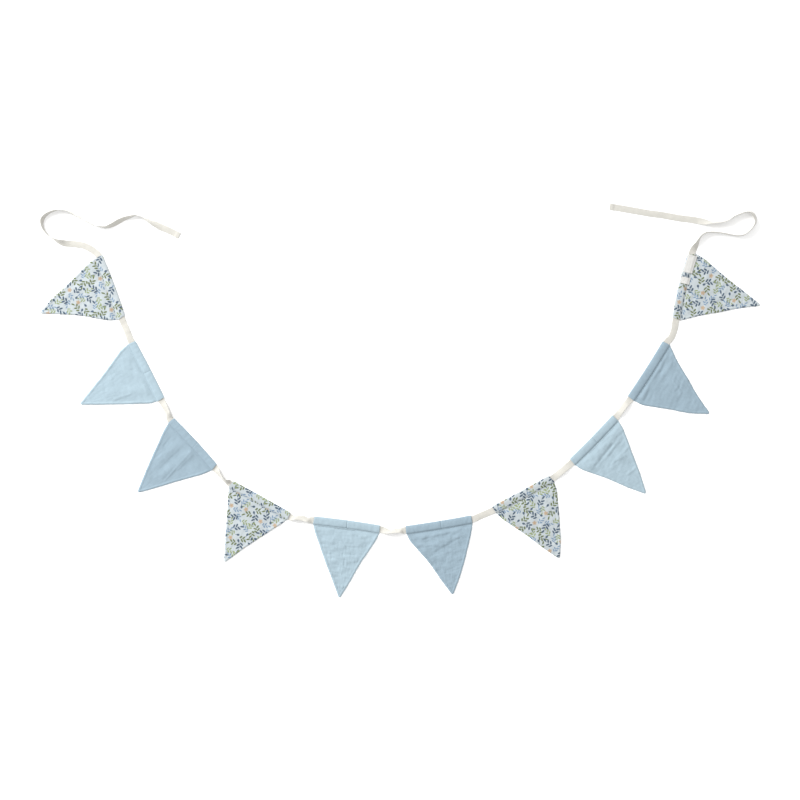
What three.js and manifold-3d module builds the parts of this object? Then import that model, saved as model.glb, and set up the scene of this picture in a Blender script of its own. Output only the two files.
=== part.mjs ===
// Fabric bunting: ten double cotton triangles on one long cotton tape, lying flat on a surface.
// Millimetres, +Z up, seen from above with the garland's U open at the top. The first flag is the leftmost.
// The tape runs through a sewn tunnel along the head of each flag, and both of its ends are long free ties.

import * as THREE from 'three';
import { mergeVertices } from 'three/addons/utils/BufferGeometryUtils.js';
import Module from 'manifold-3d';

const wasm = await Module();
wasm.setup();

// Tape
const TAPE_WIDTH = 13;
const TAPE_THICK = 1;
const TAPE_HEM_LENGTH = 9;
const TAPE_HEM_THICK = 1.8;
const TAPE_ACROSS = 2;

// Flag cloth. A flag is double cloth turned out, so its rims hold the turned seam and are thicker
const LAYER_THICK = 1;
const BODY_THICK = 1.7;
const RIM_THICK = 2.4;
const RIM_WIDTH = 4;
const EDGE_ROUND = 0.6;
const EDGE_FOOT = 0.12;
const TIP_WIDTH = 3;

// Tunnel: the head folded over and stitched down
const CLEARANCE = 0.3;
const CHANNEL_HEIGHT = TAPE_THICK + 2 * CLEARANCE;
const CHANNEL_WIDTH = TAPE_WIDTH + 0.8;
const HEAD_WALL = 1.4;
const CHANNEL_DEPTH = HEAD_WALL + CHANNEL_WIDTH / 2;
const CHANNEL_LEVEL = LAYER_THICK + CHANNEL_HEIGHT / 2;
const TUNNEL_THICK = 2 * LAYER_THICK + CHANNEL_HEIGHT;
const STITCH_DEPTH = 17;
const HEM_DEPTH = 18.8;
const MOUTH_PAST = 2;
const MOUTH_RUN = 6;

// Height of a flag's upper face at each depth below its head
const SECTION = [
  { depth: 0, height: TUNNEL_THICK * 0.72 },
  { depth: 2.2, height: TUNNEL_THICK },
  { depth: 14, height: TUNNEL_THICK },
  { depth: 15.8, height: TUNNEL_THICK * 0.92 },
  { depth: STITCH_DEPTH, height: 1.6 },
  { depth: HEM_DEPTH, height: 2.3 },
  { depth: 21, height: BODY_THICK },
];

// Rows of a flag's grid below the hem, as shares of the way from the hem to the tip
const ROW_SHARES = [0.09, 0.21, 0.34, 0.47, 0.6, 0.73, 0.86, 0.96, 1];
const COLUMNS_BETWEEN_RIMS = 6;
const WIDEST_RIM_SHARE = 0.3;

// Depths between which the head's bow dies out, and the run below the hem in which the folds rise
const HEAD_BOW_FADE = [HEM_DEPTH + 3, 60];
const FOLD_START = 8;

// Place of the under side among a box geometry's six groups
const UNDER_SIDE = 5;

// Places along a side, as shares of its length, where the table gives how far it bows out
const SIDE_PLACES = [0, 0.12, 0.25, 0.5, 0.75, 1];

// One row per flag. at: the upper corner of the tunnel mouth nearer the left tie. turn: the head's direction
// in degrees. width: the head's length. tip, mouthA and mouthB: the tip and the lower corners of the two
// mouths, along the head and down from it. headBow: how far the middle of the head stands outwards. bowsA and
// bowsB: how far each side stands outwards at SIDE_PLACES, between its mouth corner and the tip.
const FLAGS = [
  { name: 'flag_01', cloth: 'print', at: [-595, 290], turn: -69.6, width: 129, tip: [65, 156],
    mouthA: [2, 18.9], mouthB: [132.5, 15], headBow: 1.5,
    bowsA: [2, 1.6, 1, 2.7], bowsB: [2.3, 1.2, -2.4, -1.6] },
  { name: 'flag_02', cloth: 'paleBlue', at: [-529, 118], turn: -62.9, width: 126.5, tip: [62, 155],
    mouthA: [-1, 15], mouthB: [128, 13], headBow: 0.8,
    bowsA: [3.8, 2.8, 0.9, 0.4], bowsB: [3.8, 3.5, 2.8, 1.8] },
  { name: 'flag_03', cloth: 'midBlue', at: [-451.6, -36], turn: -47.2, width: 125.5, tip: [59.5, 153.5],
    mouthA: [-1, 13], mouthB: [128, 15], headBow: 1.5,
    bowsA: [2.5, 2.4, 2.4, 1.7], bowsB: [2.1, 2, 1, 1.1] },
  { name: 'flag_04', cloth: 'print', at: [-332.4, -162], turn: -29.1, width: 129.5, tip: [62.5, 149.5],
    mouthA: [-3.4, 13], mouthB: [131.5, 14], headBow: 0.6,
    bowsA: [0.5, 0.7, 0.5, 0.6], bowsB: [0.3, -0.3, -1.5, -1.4] },
  { name: 'flag_05', cloth: 'paleBlue', at: [-170.8, -232.6], turn: -7.8, width: 132, tip: [71, 153.8],
    mouthA: [-1, 15], mouthB: [133, 14], headBow: 1.2,
    bowsA: [1.7, 1.8, 1.8, 0.5], bowsB: [1.8, 1.1, -0.8, 0.5] },
  { name: 'flag_06', cloth: 'midBlue', at: [11, -252], turn: 9.3, width: 132.7, tip: [71, 149.4],
    mouthA: [-1, 14], mouthB: [133.3, 15], headBow: -0.8,
    bowsA: [3, 1.3, -1.4, 0], bowsB: [2.3, 3.2, 4.3, 3.5] },
  { name: 'flag_07', cloth: 'print', at: [184, -212.6], turn: 28.4, width: 129, tip: [69, 154.6],
    mouthA: [0.7, 16], mouthB: [132.7, 15], headBow: -0.5,
    bowsA: [1.8, 1.3, 0, 0.9], bowsB: [4.1, 4.6, 4.7, 4.6] },
  { name: 'flag_08', cloth: 'paleBlue', at: [339.6, -117.4], turn: 45.7, width: 122, tip: [56.5, 156],
    mouthA: [-2.3, 14], mouthB: [122, 16], headBow: -1,
    bowsA: [3.1, 2.4, 0.6, 1.7], bowsB: [2.8, 3.1, 2.5, 2.4] },
  { name: 'flag_09', cloth: 'midBlue', at: [455.2, 8], turn: 57.4, width: 130, tip: [58.5, 155.8],
    mouthA: [-1.3, 14], mouthB: [131.4, 16], headBow: -1,
    bowsA: [5.2, 5.6, 4.7, 5], bowsB: [-2.3, -3.4, -3.1, -3.2] },
  { name: 'flag_10', cloth: 'print', at: [544.6, 166], turn: 76.3, width: 128.6, tip: [64.7, 164.4],
    mouthA: [-3.2, 17], mouthB: [133.4, 18], headBow: 3,
    bowsA: [-1.3, -2.7, -2.4, -2.7], bowsB: [2.1, 1, -0.2, 0.1] },
];

// Main folds. from, to: the crest's ends. rise: how far the cloth lifts there. spread: half the fold's width.
const FOLDS = [
  { flag: 'flag_01', from: [-640, 252], to: [-590, 190], rise: 0.9, spread: 22 },
  { flag: 'flag_02', from: [-576, 12], to: [-490, 24], rise: 1.4, spread: 9 },
  { flag: 'flag_02', from: [-580, 66], to: [-520, 62], rise: 0.9, spread: 12 },
  { flag: 'flag_03', from: [-472, -148], to: [-418, -106], rise: 1.3, spread: 7 },
  { flag: 'flag_03', from: [-486, -126], to: [-436, -84], rise: 1.1, spread: 8 },
  { flag: 'flag_04', from: [-310, -190], to: [-300, -262], rise: 0.9, spread: 22 },
  { flag: 'flag_05', from: [-148, -290], to: [-84, -288], rise: 1, spread: 10 },
  { flag: 'flag_05', from: [-124, -314], to: [-96, -322], rise: 1.1, spread: 9 },
  { flag: 'flag_06', from: [44, -273], to: [112, -262], rise: 1.5, spread: 7 },
  { flag: 'flag_06', from: [52, -298], to: [116, -272], rise: 1.3, spread: 9 },
  { flag: 'flag_07', from: [250, -200], to: [286, -236], rise: 0.9, spread: 20 },
  { flag: 'flag_08', from: [430, -66], to: [380, -128], rise: 2.1, spread: 11 },
  { flag: 'flag_08', from: [452, -104], to: [428, -128], rise: 1, spread: 10 },
  { flag: 'flag_09', from: [528, 90], to: [484, 12], rise: 2.3, spread: 7 },
  { flag: 'flag_09', from: [560, 40], to: [540, 6], rise: 0.8, spread: 14 },
  { flag: 'flag_10', from: [596, 244], to: [620, 192], rise: 0.9, spread: 20 },
];

// Stretches of the tape that lie free. roll: how far it leans over about its own line, in degrees, 90 on
// edge. curl: how far its two edges bend down, in degrees. The left tie runs from its free end to flag_01.
const LEFT_TIE = [
  { x: -441, y: 328, roll: 0, curl: 0 },
  { x: -452, y: 334, roll: 0, curl: 0 },
  { x: -464, y: 340, roll: 2, curl: 20 },
  { x: -476, y: 345, roll: 6, curl: 20 },
  { x: -488, y: 351, roll: 24, curl: 10 },
  { x: -500, y: 357, roll: 56, curl: 0 },
  { x: -509, y: 363, roll: 72, curl: 0 },
  { x: -518, y: 367.5, roll: 80, curl: 0 },
  { x: -529, y: 369, roll: 94, curl: 0 },
  { x: -540, y: 366, roll: 110, curl: 0 },
  { x: -552, y: 362, roll: 124, curl: 0 },
  { x: -564, y: 356, roll: 135, curl: 0 },
  { x: -576, y: 349.5, roll: 127, curl: 0 },
  { x: -588, y: 345.5, roll: 108, curl: 0 },
  { x: -598, y: 346.5, roll: 98, curl: 0 },
  { x: -609, y: 349.5, roll: 84, curl: 0 },
  { x: -620, y: 355, roll: 79, curl: 0 },
  { x: -631, y: 360.5, roll: 76, curl: 0 },
  { x: -641, y: 367, roll: 70, curl: 0 },
  { x: -651, y: 372.5, roll: 68, curl: 0 },
  { x: -662, y: 378, roll: 74, curl: 0 },
  { x: -676, y: 380.5, roll: 82, curl: 0 },
  { x: -689, y: 379, roll: 96, curl: 0 },
  { x: -700, y: 375, roll: 104, curl: 0 },
  { x: -709.5, y: 368.5, roll: 114, curl: 0 },
  { x: -715, y: 360.5, roll: 121, curl: 0 },
  { x: -715.5, y: 351, roll: 109, curl: 0 },
  { x: -711, y: 339, roll: 100, curl: 0 },
  { x: -702, y: 328.5, roll: 95, curl: 0 },
  { x: -692, y: 321.5, roll: 78, curl: 0 },
  { x: -682, y: 316.5, roll: 54, curl: 0 },
  { x: -671, y: 313.5, roll: 20, curl: 10 },
  { x: -658, y: 312.5, roll: 4, curl: 20 },
  { x: -644, y: 311, roll: 0, curl: 20 },
  { x: -632, y: 308.5, roll: 0, curl: 15 },
  { x: -620, y: 303, roll: 0, curl: 10 },
  { x: -610, y: 296, roll: 0, curl: 0 },
];

// Between each flag and the next
const GAPS = [
  {
    after: 'flag_01',
    by: [
      { x: -552, y: 152, roll: 0, curl: 20 },
      { x: -546, y: 138, roll: 6, curl: 40 },
    ],
  },
  {
    after: 'flag_02',
    by: [
      { x: -470.5, y: -13, roll: 28, curl: 30 },
      { x: -464, y: -27, roll: 44, curl: 30 },
    ],
  },
  {
    after: 'flag_03',
    by: [
      { x: -365, y: -143.4, roll: 42, curl: 20 },
      { x: -360, y: -151, roll: 60, curl: 10 },
      { x: -354.6, y: -157.6, roll: 72, curl: 0 },
      { x: -347.6, y: -163, roll: 56, curl: 0 },
    ],
  },
  {
    after: 'flag_04',
    by: [
      { x: -211, y: -235.4, roll: -60, curl: 0 },
      { x: -203, y: -235.2, roll: -40, curl: 20 },
      { x: -194, y: -236.2, roll: -34, curl: 20 },
      { x: -185, y: -239.2, roll: -50, curl: 0 },
    ],
  },
  {
    after: 'flag_05',
    by: [
      { x: -29, y: -261.4, roll: -30, curl: 10 },
      { x: -19.5, y: -263, roll: -63, curl: 0 },
      { x: -8.5, y: -261.2, roll: -46, curl: 10 },
      { x: 0.5, y: -260.4, roll: -48, curl: 0 },
    ],
  },
  {
    after: 'flag_06',
    by: [
      { x: 158, y: -233, roll: 0, curl: 20 },
      { x: 171, y: -227.5, roll: 0, curl: 20 },
    ],
  },
  {
    after: 'flag_07',
    by: [
      { x: 316, y: -148, roll: -16, curl: 20 },
      { x: 326, y: -140, roll: -22, curl: 15 },
    ],
  },
  {
    after: 'flag_08',
    by: [
      { x: 441, y: -22.5, roll: -34, curl: 20 },
      { x: 451, y: -9, roll: -30, curl: 20 },
    ],
  },
  {
    after: 'flag_09',
    by: [
      { x: 542.5, y: 125, roll: 0, curl: 25 },
      { x: 549, y: 143, roll: 0, curl: 20 },
    ],
  },
];

// From flag_10 to the right tie's free end
const RIGHT_TIE = [
  { x: 588.5, y: 304, roll: 20, curl: 20 },
  { x: 594, y: 313.4, roll: 54, curl: 10 },
  { x: 598, y: 322, roll: 73, curl: 0 },
  { x: 603.5, y: 329.5, roll: 80, curl: 0 },
  { x: 610.5, y: 334, roll: 84, curl: 0 },
  { x: 620, y: 335.4, roll: 85, curl: 0 },
  { x: 632, y: 335, roll: 85, curl: 0 },
  { x: 644, y: 333.5, roll: 85, curl: 0 },
  { x: 656, y: 331.2, roll: 85, curl: 0 },
  { x: 668, y: 329, roll: 85, curl: 0 },
  { x: 679, y: 328.4, roll: 85, curl: 0 },
  { x: 689, y: 331, roll: 84, curl: 0 },
  { x: 698, y: 337.6, roll: 84, curl: 0 },
  { x: 706, y: 346.2, roll: 81, curl: 0 },
  { x: 710.6, y: 354.8, roll: 71, curl: 0 },
  { x: 710, y: 363.2, roll: 61, curl: 0 },
  { x: 706.5, y: 370.8, roll: 56, curl: 0 },
  { x: 700.5, y: 376.5, roll: 72, curl: 0 },
  { x: 691, y: 375.8, roll: 92, curl: 0 },
  { x: 679, y: 371.3, roll: 95, curl: 0 },
  { x: 668.5, y: 367, roll: 95, curl: 0 },
  { x: 660, y: 361.8, roll: 91, curl: 0 },
  { x: 653, y: 358.4, roll: 80, curl: 0 },
  { x: 644.5, y: 356.4, roll: 74, curl: 0 },
  { x: 631, y: 355.2, roll: 72, curl: 0 },
  { x: 619, y: 355, roll: 60, curl: 0 },
  { x: 608.5, y: 356.3, roll: 26, curl: 15 },
  { x: 596, y: 358.6, roll: 6, curl: 20 },
  { x: 580, y: 361, roll: 0, curl: 20 },
  { x: 560, y: 363.5, roll: 0, curl: 20 },
  { x: 540, y: 367, roll: 0, curl: 20 },
  { x: 520, y: 370.5, roll: 0, curl: 20 },
  { x: 500, y: 373, roll: 0, curl: 20 },
  { x: 480, y: 376.5, roll: 0, curl: 20 },
  { x: 460, y: 380, roll: 0, curl: 15 },
  { x: 440, y: 383.5, roll: 0, curl: 0 },
  { x: 419, y: 387, roll: 0, curl: 0 },
];

// Distance between two steps of the tape, and the curl of a tape that lies flat, in degrees
const TIE_STEP = 8;
const GAP_STEP = 9;
const TUNNEL_STEP = 24;
const LEAST_CURL = 0.01;

// Labels over the tunnel of flag_10, along its head
const LABEL_THICK = 1;
const LABEL_EASE = 1.2;
const LABEL_DEPTHS = [1.2, 2.2, 8, 14, 15.8, 17, 18.8, 20];
const LABELS = [
  { name: 'label_long', flag: 'flag_10', from: 93, to: 127.6, steps: 4 },
  { name: 'label_small', flag: 'flag_10', from: 70, to: 83.5, steps: 2 },
];

const MATERIALS = {
  print: new THREE.MeshStandardMaterial({ color: 0xa9bdc2, roughness: 0.9, metalness: 0 }),
  paleBlue: new THREE.MeshStandardMaterial({ color: 0xbcd3e0, roughness: 0.92, metalness: 0 }),
  midBlue: new THREE.MeshStandardMaterial({ color: 0x9bb9c9, roughness: 0.92, metalness: 0 }),
  tape: new THREE.MeshStandardMaterial({ color: 0xebe6da, roughness: 0.85, metalness: 0 }),
  label: new THREE.MeshStandardMaterial({ color: 0xf2f0ea, roughness: 0.7, metalness: 0 }),
};

// Value of a table at a place between its rows: a cubic whose slope at each row is the mean slope around it
function smoothAt(places, values, at) {
  const last = places.length - 1;
  let row = 0;
  while (row < last - 1 && at > places[row + 1]) row += 1;
  const slopeAt = (i) => {
    const before = Math.max(i - 1, 0);
    const after = Math.min(i + 1, last);
    return (values[after] - values[before]) / (places[after] - places[before]);
  };
  const run = places[row + 1] - places[row];
  const t = (at - places[row]) / run;
  const startWeight = 2 * t ** 3 - 3 * t ** 2 + 1;
  const endWeight = 1 - startWeight;
  const startPull = (t ** 3 - 2 * t ** 2 + t) * run;
  const endPull = (t ** 3 - t ** 2) * run;
  return startWeight * values[row] + endWeight * values[row + 1]
    + startPull * slopeAt(row) + endPull * slopeAt(row + 1);
}

// Straight-line value of a table at a place
function lineAt(places, values, at) {
  const last = places.length - 1;
  if (at >= places[last]) return values[last];
  let row = 0;
  while (row < last - 1 && at > places[row + 1]) row += 1;
  return THREE.MathUtils.mapLinear(at, places[row], places[row + 1], values[row], values[row + 1]);
}

// Cuts the squares of a box's under side along the same diagonals as those above, for an even twisted sheet
function matchDiagonals(box) {
  const { start, count } = box.groups[UNDER_SIDE];
  const index = box.index.array;
  for (let n = start; n < start + count; n += 6) {
    const [a, b, d, , c] = index.slice(n, n + 6);
    index.set([a, b, c, a, c, d], n);
  }
}

// A box grid whose every point is moved by place(i, j, k), its column, row and layer
function bentBox(columns, rows, layers, place) {
  const box = new THREE.BoxGeometry(columns, rows, layers, columns, rows, layers);
  matchDiagonals(box);
  box.deleteAttribute('normal');
  box.deleteAttribute('uv');
  const geometry = mergeVertices(box);
  const position = geometry.attributes.position;
  for (let n = 0; n < position.count; n += 1) {
    const i = Math.round(position.getX(n) + columns / 2);
    const j = Math.round(rows / 2 - position.getY(n));
    const k = Math.round(position.getZ(n) + layers / 2);
    const point = place(i, j, k);
    position.setXYZ(n, point.x, point.y, point.z);
  }
  return geometry;
}

// A flag's own frame has x along its head and y down from it towards the tip, as the tables do
function flagToGarland(flag, x, y) {
  const turn = THREE.MathUtils.degToRad(flag.turn);
  return new THREE.Vector2(
    flag.at[0] + x * Math.cos(turn) + y * Math.sin(turn),
    flag.at[1] + x * Math.sin(turn) - y * Math.cos(turn),
  );
}

function headBowAt(flag, x) {
  const share = THREE.MathUtils.clamp(x / flag.width, 0, 1);
  return flag.headBow * Math.sin(Math.PI * share);
}

// Point on one side of a flag, at a share of the way from its mouth corner to the tip
function sidePoint(flag, side, share) {
  const isA = side === 'A';
  const mouth = new THREE.Vector2(...(isA ? flag.mouthA : flag.mouthB));
  const tip = new THREE.Vector2(flag.tip[0] + (isA ? -TIP_WIDTH / 2 : TIP_WIDTH / 2), flag.tip[1]);
  const chord = tip.clone().sub(mouth);
  const outwards = new THREE.Vector2(chord.y, -chord.x).normalize();
  if (isA) outwards.negate();
  const bow = smoothAt(SIDE_PLACES, [0, ...(isA ? flag.bowsA : flag.bowsB), 0], share);
  return mouth.addScaledVector(chord, share).addScaledVector(outwards, bow);
}

// Point on a flag's outline at a depth below its head: on the mouth's edge, then on the side
function outlineAt(flag, side, depth) {
  const head = side === 'A' ? 0 : flag.width;
  const mouth = side === 'A' ? flag.mouthA : flag.mouthB;
  if (depth > mouth[1]) return sidePoint(flag, side, (depth - mouth[1]) / (flag.tip[1] - mouth[1]));
  return new THREE.Vector2(THREE.MathUtils.lerp(head, mouth[0], depth / mouth[1]), depth);
}

// Thickness of a flag's cloth at a depth below its head
function thickAt(depth) {
  return lineAt(SECTION.map((row) => row.depth), SECTION.map((row) => row.height), depth);
}

// How far the cloth is lifted off the surface by its folds, at a point of the garland
function foldLift(flag, point, depth) {
  let lift = 0;
  for (const fold of FOLDS.filter((each) => each.flag === flag.name)) {
    const crest = new THREE.Line3(
      new THREE.Vector3(...fold.from, 0),
      new THREE.Vector3(...fold.to, 0),
    );
    const here = new THREE.Vector3(point.x, point.y, 0);
    const nearest = crest.closestPointToPoint(here, true, new THREE.Vector3());
    const reach = Math.min(here.distanceTo(nearest) / (2 * fold.spread), 1);
    lift = Math.max(lift, fold.rise * (1 + Math.cos(Math.PI * reach)) / 2);
  }
  return lift * THREE.MathUtils.smoothstep(depth, HEM_DEPTH, HEM_DEPTH + FOLD_START);
}

// Depths of a flag's grid rows: the section's own rows down to the hem, then shares of the way to the tip
function rowDepths(flag) {
  const head = SECTION.map((row) => row.depth).filter((depth) => depth <= HEM_DEPTH);
  return [...head, ...ROW_SHARES.map((share) => THREE.MathUtils.lerp(HEM_DEPTH, flag.tip[1], share))];
}

// One flag, in its own frame with y up towards the head: a grid between its edges with a rounded rim
function flagBody(flag) {
  const depths = rowDepths(flag);
  const lastRow = depths.length - 1;
  const lastColumn = COLUMNS_BETWEEN_RIMS + 2;
  const middle = new THREE.Vector2(flag.width / 2, flag.tip[1] * 0.3);
  return bentBox(lastColumn, lastRow, 2, (i, j, k) => {
    const a = outlineAt(flag, 'A', depths[j]);
    const b = outlineAt(flag, 'B', depths[j]);
    const rim = Math.min(RIM_WIDTH / a.distanceTo(b), WIDEST_RIM_SHARE);
    const onSide = i === 0 || i === lastColumn;
    const across = onSide ? i / lastColumn : THREE.MathUtils.mapLinear(i, 1, lastColumn - 1, rim, 1 - rim);
    const point = a.lerp(b, across);
    point.y -= headBowAt(flag, point.x) * (1 - THREE.MathUtils.smoothstep(point.y, ...HEAD_BOW_FADE));
    const lift = foldLift(flag, flagToGarland(flag, point.x, point.y), depths[j]);
    const nearRim = i <= 1 || i >= lastColumn - 1 || j >= lastRow - 1;
    const thick = nearRim && depths[j] > HEM_DEPTH ? RIM_THICK : thickAt(depths[j]);
    const onEdge = onSide || j === 0 || j === lastRow;
    if (!onEdge) return new THREE.Vector3(point.x, -point.y, lift + thick * k / 2);
    if (k !== 1) point.addScaledVector(middle.clone().sub(point).normalize(), EDGE_ROUND);
    return new THREE.Vector3(point.x, -point.y, lift + thick * [EDGE_FOOT, 0.5, 1 - EDGE_FOOT][k]);
  });
}

// The stretch along a flag's head where the tape stays straight and level, a little past both mouths
function tunnelReach(flag) {
  return [Math.min(0, flag.mouthA[0]) - MOUTH_PAST, Math.max(flag.width, flag.mouthB[0]) + MOUTH_PAST];
}

// The hole that the tape passes through, bowed with the head and running out past both mouths
function flagChannel(flag) {
  const steps = 4;
  const [start, end] = tunnelReach(flag);
  return bentBox(steps, 1, 1, (i, j, k) => {
    const x = THREE.MathUtils.mapLinear(i, 0, steps, start - MOUTH_RUN, end + MOUTH_RUN);
    const depth = CHANNEL_DEPTH + (j - 0.5) * CHANNEL_WIDTH - headBowAt(flag, x);
    return new THREE.Vector3(x, -depth, CHANNEL_LEVEL + (k - 0.5) * CHANNEL_HEIGHT);
  });
}

function toSolid(geometry) {
  return new wasm.Manifold(new wasm.Mesh({
    numProp: 3,
    vertProperties: new Float32Array(geometry.attributes.position.array),
    triVerts: new Uint32Array(geometry.index.array),
  }));
}

function toGeometry(solid) {
  const mesh = solid.getMesh();
  const geometry = new THREE.BufferGeometry();
  geometry.setAttribute('position', new THREE.BufferAttribute(new Float32Array(mesh.vertProperties), 3));
  geometry.setIndex(new THREE.BufferAttribute(new Uint32Array(mesh.triVerts), 1));
  return geometry;
}

function makeFlag(flag) {
  const cloth = toSolid(flagBody(flag)).subtract(toSolid(flagChannel(flag)));
  const mesh = new THREE.Mesh(toGeometry(cloth), MATERIALS[flag.cloth]);
  mesh.name = flag.name;
  mesh.position.set(flag.at[0], flag.at[1], 0);
  mesh.rotation.z = THREE.MathUtils.degToRad(flag.turn);
  return mesh;
}

// The tape's route through one tunnel, flat and a little above the flag's lower layer
function tunnelStops(flag) {
  const [start, end] = tunnelReach(flag);
  return [0, 0.25, 0.5, 0.75, 1].map((share) => {
    const x = THREE.MathUtils.lerp(start, end, share);
    const point = flagToGarland(flag, x, CHANNEL_DEPTH - headBowAt(flag, x));
    return { x: point.x, y: point.y, z: CHANNEL_LEVEL, roll: 0, curl: 0, step: TUNNEL_STEP };
  });
}

function freeStops(stops, step) {
  return stops.map((stop) => ({ ...stop, z: TAPE_THICK / 2, step }));
}

function tapeStops() {
  const stops = freeStops(LEFT_TIE, TIE_STEP);
  for (const flag of FLAGS) {
    stops.push(...tunnelStops(flag));
    const gap = GAPS.find((each) => each.after === flag.name);
    if (gap) stops.push(...freeStops(gap.by, GAP_STEP));
  }
  return [...stops, ...freeStops(RIGHT_TIE, TIE_STEP)];
}

// The tape's cross-section at one stop, as offsets across it and up from it: an arc that the curl bends down
function tapeSection(curl, thick) {
  const offsets = [];
  for (let i = 0; i <= TAPE_ACROSS; i += 1) {
    const across = (i / TAPE_ACROSS - 0.5) * TAPE_WIDTH;
    const bend = THREE.MathUtils.degToRad(Math.max(curl, LEAST_CURL));
    const radius = TAPE_WIDTH / bend;
    const angle = across / radius;
    const foot = radius * Math.cos(bend / 2);
    offsets.push([-thick / 2, thick / 2].map((up) => new THREE.Vector2(
      (radius + up) * Math.sin(angle),
      (radius + up) * Math.cos(angle) - foot,
    )));
  }
  return offsets;
}

// Steps along the tape, each with its place, its lean and its section, resting on the surface
function tapeSteps() {
  const stops = tapeStops();
  const curve = new THREE.CatmullRomCurve3(stops.map((stop) => new THREE.Vector3(stop.x, stop.y, stop.z)));
  curve.curveType = 'centripetal';
  const last = stops.length - 1;
  const shares = [0];
  for (let n = 0; n < last; n += 1) {
    const run = Math.hypot(stops[n + 1].x - stops[n].x, stops[n + 1].y - stops[n].y);
    const count = Math.max(1, Math.round(run / Math.min(stops[n].step, stops[n + 1].step)));
    for (let m = 1; m <= count; m += 1) shares.push((n + m / count) / last);
  }
  const total = curve.getLength();
  const firstHem = curve.getUtoTmapping(TAPE_HEM_LENGTH / total);
  const lastHem = curve.getUtoTmapping(1 - TAPE_HEM_LENGTH / total);
  return shares.map((share) => {
    const row = Math.min(Math.floor(share * last), last - 1);
    const part = share * last - row;
    const mix = (key) => THREE.MathUtils.lerp(stops[row][key], stops[row + 1][key], part);
    return {
      centre: curve.getPoint(share),
      tangent: curve.getTangent(share),
      roll: mix('roll'),
      curl: mix('curl'),
      thick: share < firstHem || share > lastHem ? TAPE_HEM_THICK : TAPE_THICK,
    };
  });
}

// Corners of the tape's section at one step: leant over about its line, then raised to rest on the surface
function tapeCorners(step) {
  const across = new THREE.Vector3().crossVectors(new THREE.Vector3(0, 0, 1), step.tangent).normalize();
  const up = new THREE.Vector3().crossVectors(step.tangent, across).normalize();
  const roll = THREE.MathUtils.degToRad(step.roll);
  const side = across.clone().multiplyScalar(Math.cos(roll)).addScaledVector(up, Math.sin(roll));
  const face = up.clone().multiplyScalar(Math.cos(roll)).addScaledVector(across, -Math.sin(roll));
  const corners = tapeSection(step.curl, step.thick).map((pair) => pair.map((offset) => (
    step.centre.clone().addScaledVector(side, offset.x).addScaledVector(face, offset.y)
  )));
  const lowest = Math.min(...corners.flat().map((corner) => corner.z));
  if (lowest < 0) corners.flat().forEach((corner) => { corner.z -= lowest; });
  return corners;
}

function makeTape() {
  const corners = tapeSteps().map(tapeCorners);
  const geometry = bentBox(TAPE_ACROSS, corners.length - 1, 1, (i, j, k) => corners[j][i][k]);
  const mesh = new THREE.Mesh(geometry, MATERIALS.tape);
  mesh.name = 'tape';
  return mesh;
}

// A small sheet laid over a flag's tunnel, following its section
function makeLabel(label) {
  const flag = FLAGS.find((each) => each.name === label.flag);
  const geometry = bentBox(label.steps, LABEL_DEPTHS.length - 1, 1, (i, j, k) => {
    const x = THREE.MathUtils.mapLinear(i, 0, label.steps, label.from, label.to);
    const depth = LABEL_DEPTHS[j];
    const under = Math.max(thickAt(depth - LABEL_EASE), thickAt(depth), thickAt(depth + LABEL_EASE));
    const height = under + CLEARANCE + k * LABEL_THICK;
    return new THREE.Vector3(x, headBowAt(flag, x) - depth, height);
  });
  const mesh = new THREE.Mesh(geometry, MATERIALS.label);
  mesh.name = label.name;
  mesh.position.set(flag.at[0], flag.at[1], 0);
  mesh.rotation.z = THREE.MathUtils.degToRad(flag.turn);
  return mesh;
}

const bunting = new THREE.Group();
for (const flag of FLAGS) bunting.add(makeFlag(flag));
bunting.add(makeTape());
for (const label of LABELS) bunting.add(makeLabel(label));

// The origin is on the surface, under the middle of the whole garland
const box = new THREE.Box3().setFromObject(bunting, true);
const middle = box.getCenter(new THREE.Vector3());
bunting.position.set(-middle.x, -middle.y, -box.min.z);

export default bunting;
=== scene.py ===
"""Fabric bunting lying flat: ten double cotton flags on one cotton tape, with long free ties at both ends.

Metres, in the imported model's frame: +X towards the right tie, +Y towards the ties, +Z up from the surface.
A shape is a grid of points worked out as whole arrays. A grid becomes a closed double skin that thins to
nothing at its rim, so that every edge of the cloth is soft and round.
"""

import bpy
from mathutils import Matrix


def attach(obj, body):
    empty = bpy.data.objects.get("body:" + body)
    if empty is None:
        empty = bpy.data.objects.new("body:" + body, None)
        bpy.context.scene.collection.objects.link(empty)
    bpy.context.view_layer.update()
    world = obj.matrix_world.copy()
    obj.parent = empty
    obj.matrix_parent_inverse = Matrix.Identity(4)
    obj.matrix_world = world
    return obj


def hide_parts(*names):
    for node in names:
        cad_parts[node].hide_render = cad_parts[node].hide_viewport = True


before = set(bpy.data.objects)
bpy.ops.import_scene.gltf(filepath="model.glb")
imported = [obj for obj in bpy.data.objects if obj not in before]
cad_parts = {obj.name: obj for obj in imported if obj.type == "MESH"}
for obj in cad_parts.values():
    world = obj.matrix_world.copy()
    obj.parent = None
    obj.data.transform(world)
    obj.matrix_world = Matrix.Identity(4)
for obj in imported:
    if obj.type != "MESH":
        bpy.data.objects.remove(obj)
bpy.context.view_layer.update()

import bpy
import numpy as np
from mathutils import Vector

MM = 0.001

# Middle of the whole garland in the tables' own plane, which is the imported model's origin
GARLAND_MIDDLE = np.array((0.00046, -0.00070))

# Grid of a flag: distances of its lines from a rim, the most that they take of a row, and the steps between
RIM_STEPS = MM * np.array((0, 0.12, 0.35, 0.7, 1.1, 1.7, 2.4, 3.2, 4.2, 5.4))
RIM_SHARE = 0.3
COLUMNS = 60
TUNNEL_STEP = 0.5 * MM
BODY_STEP = 1.7 * MM

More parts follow.
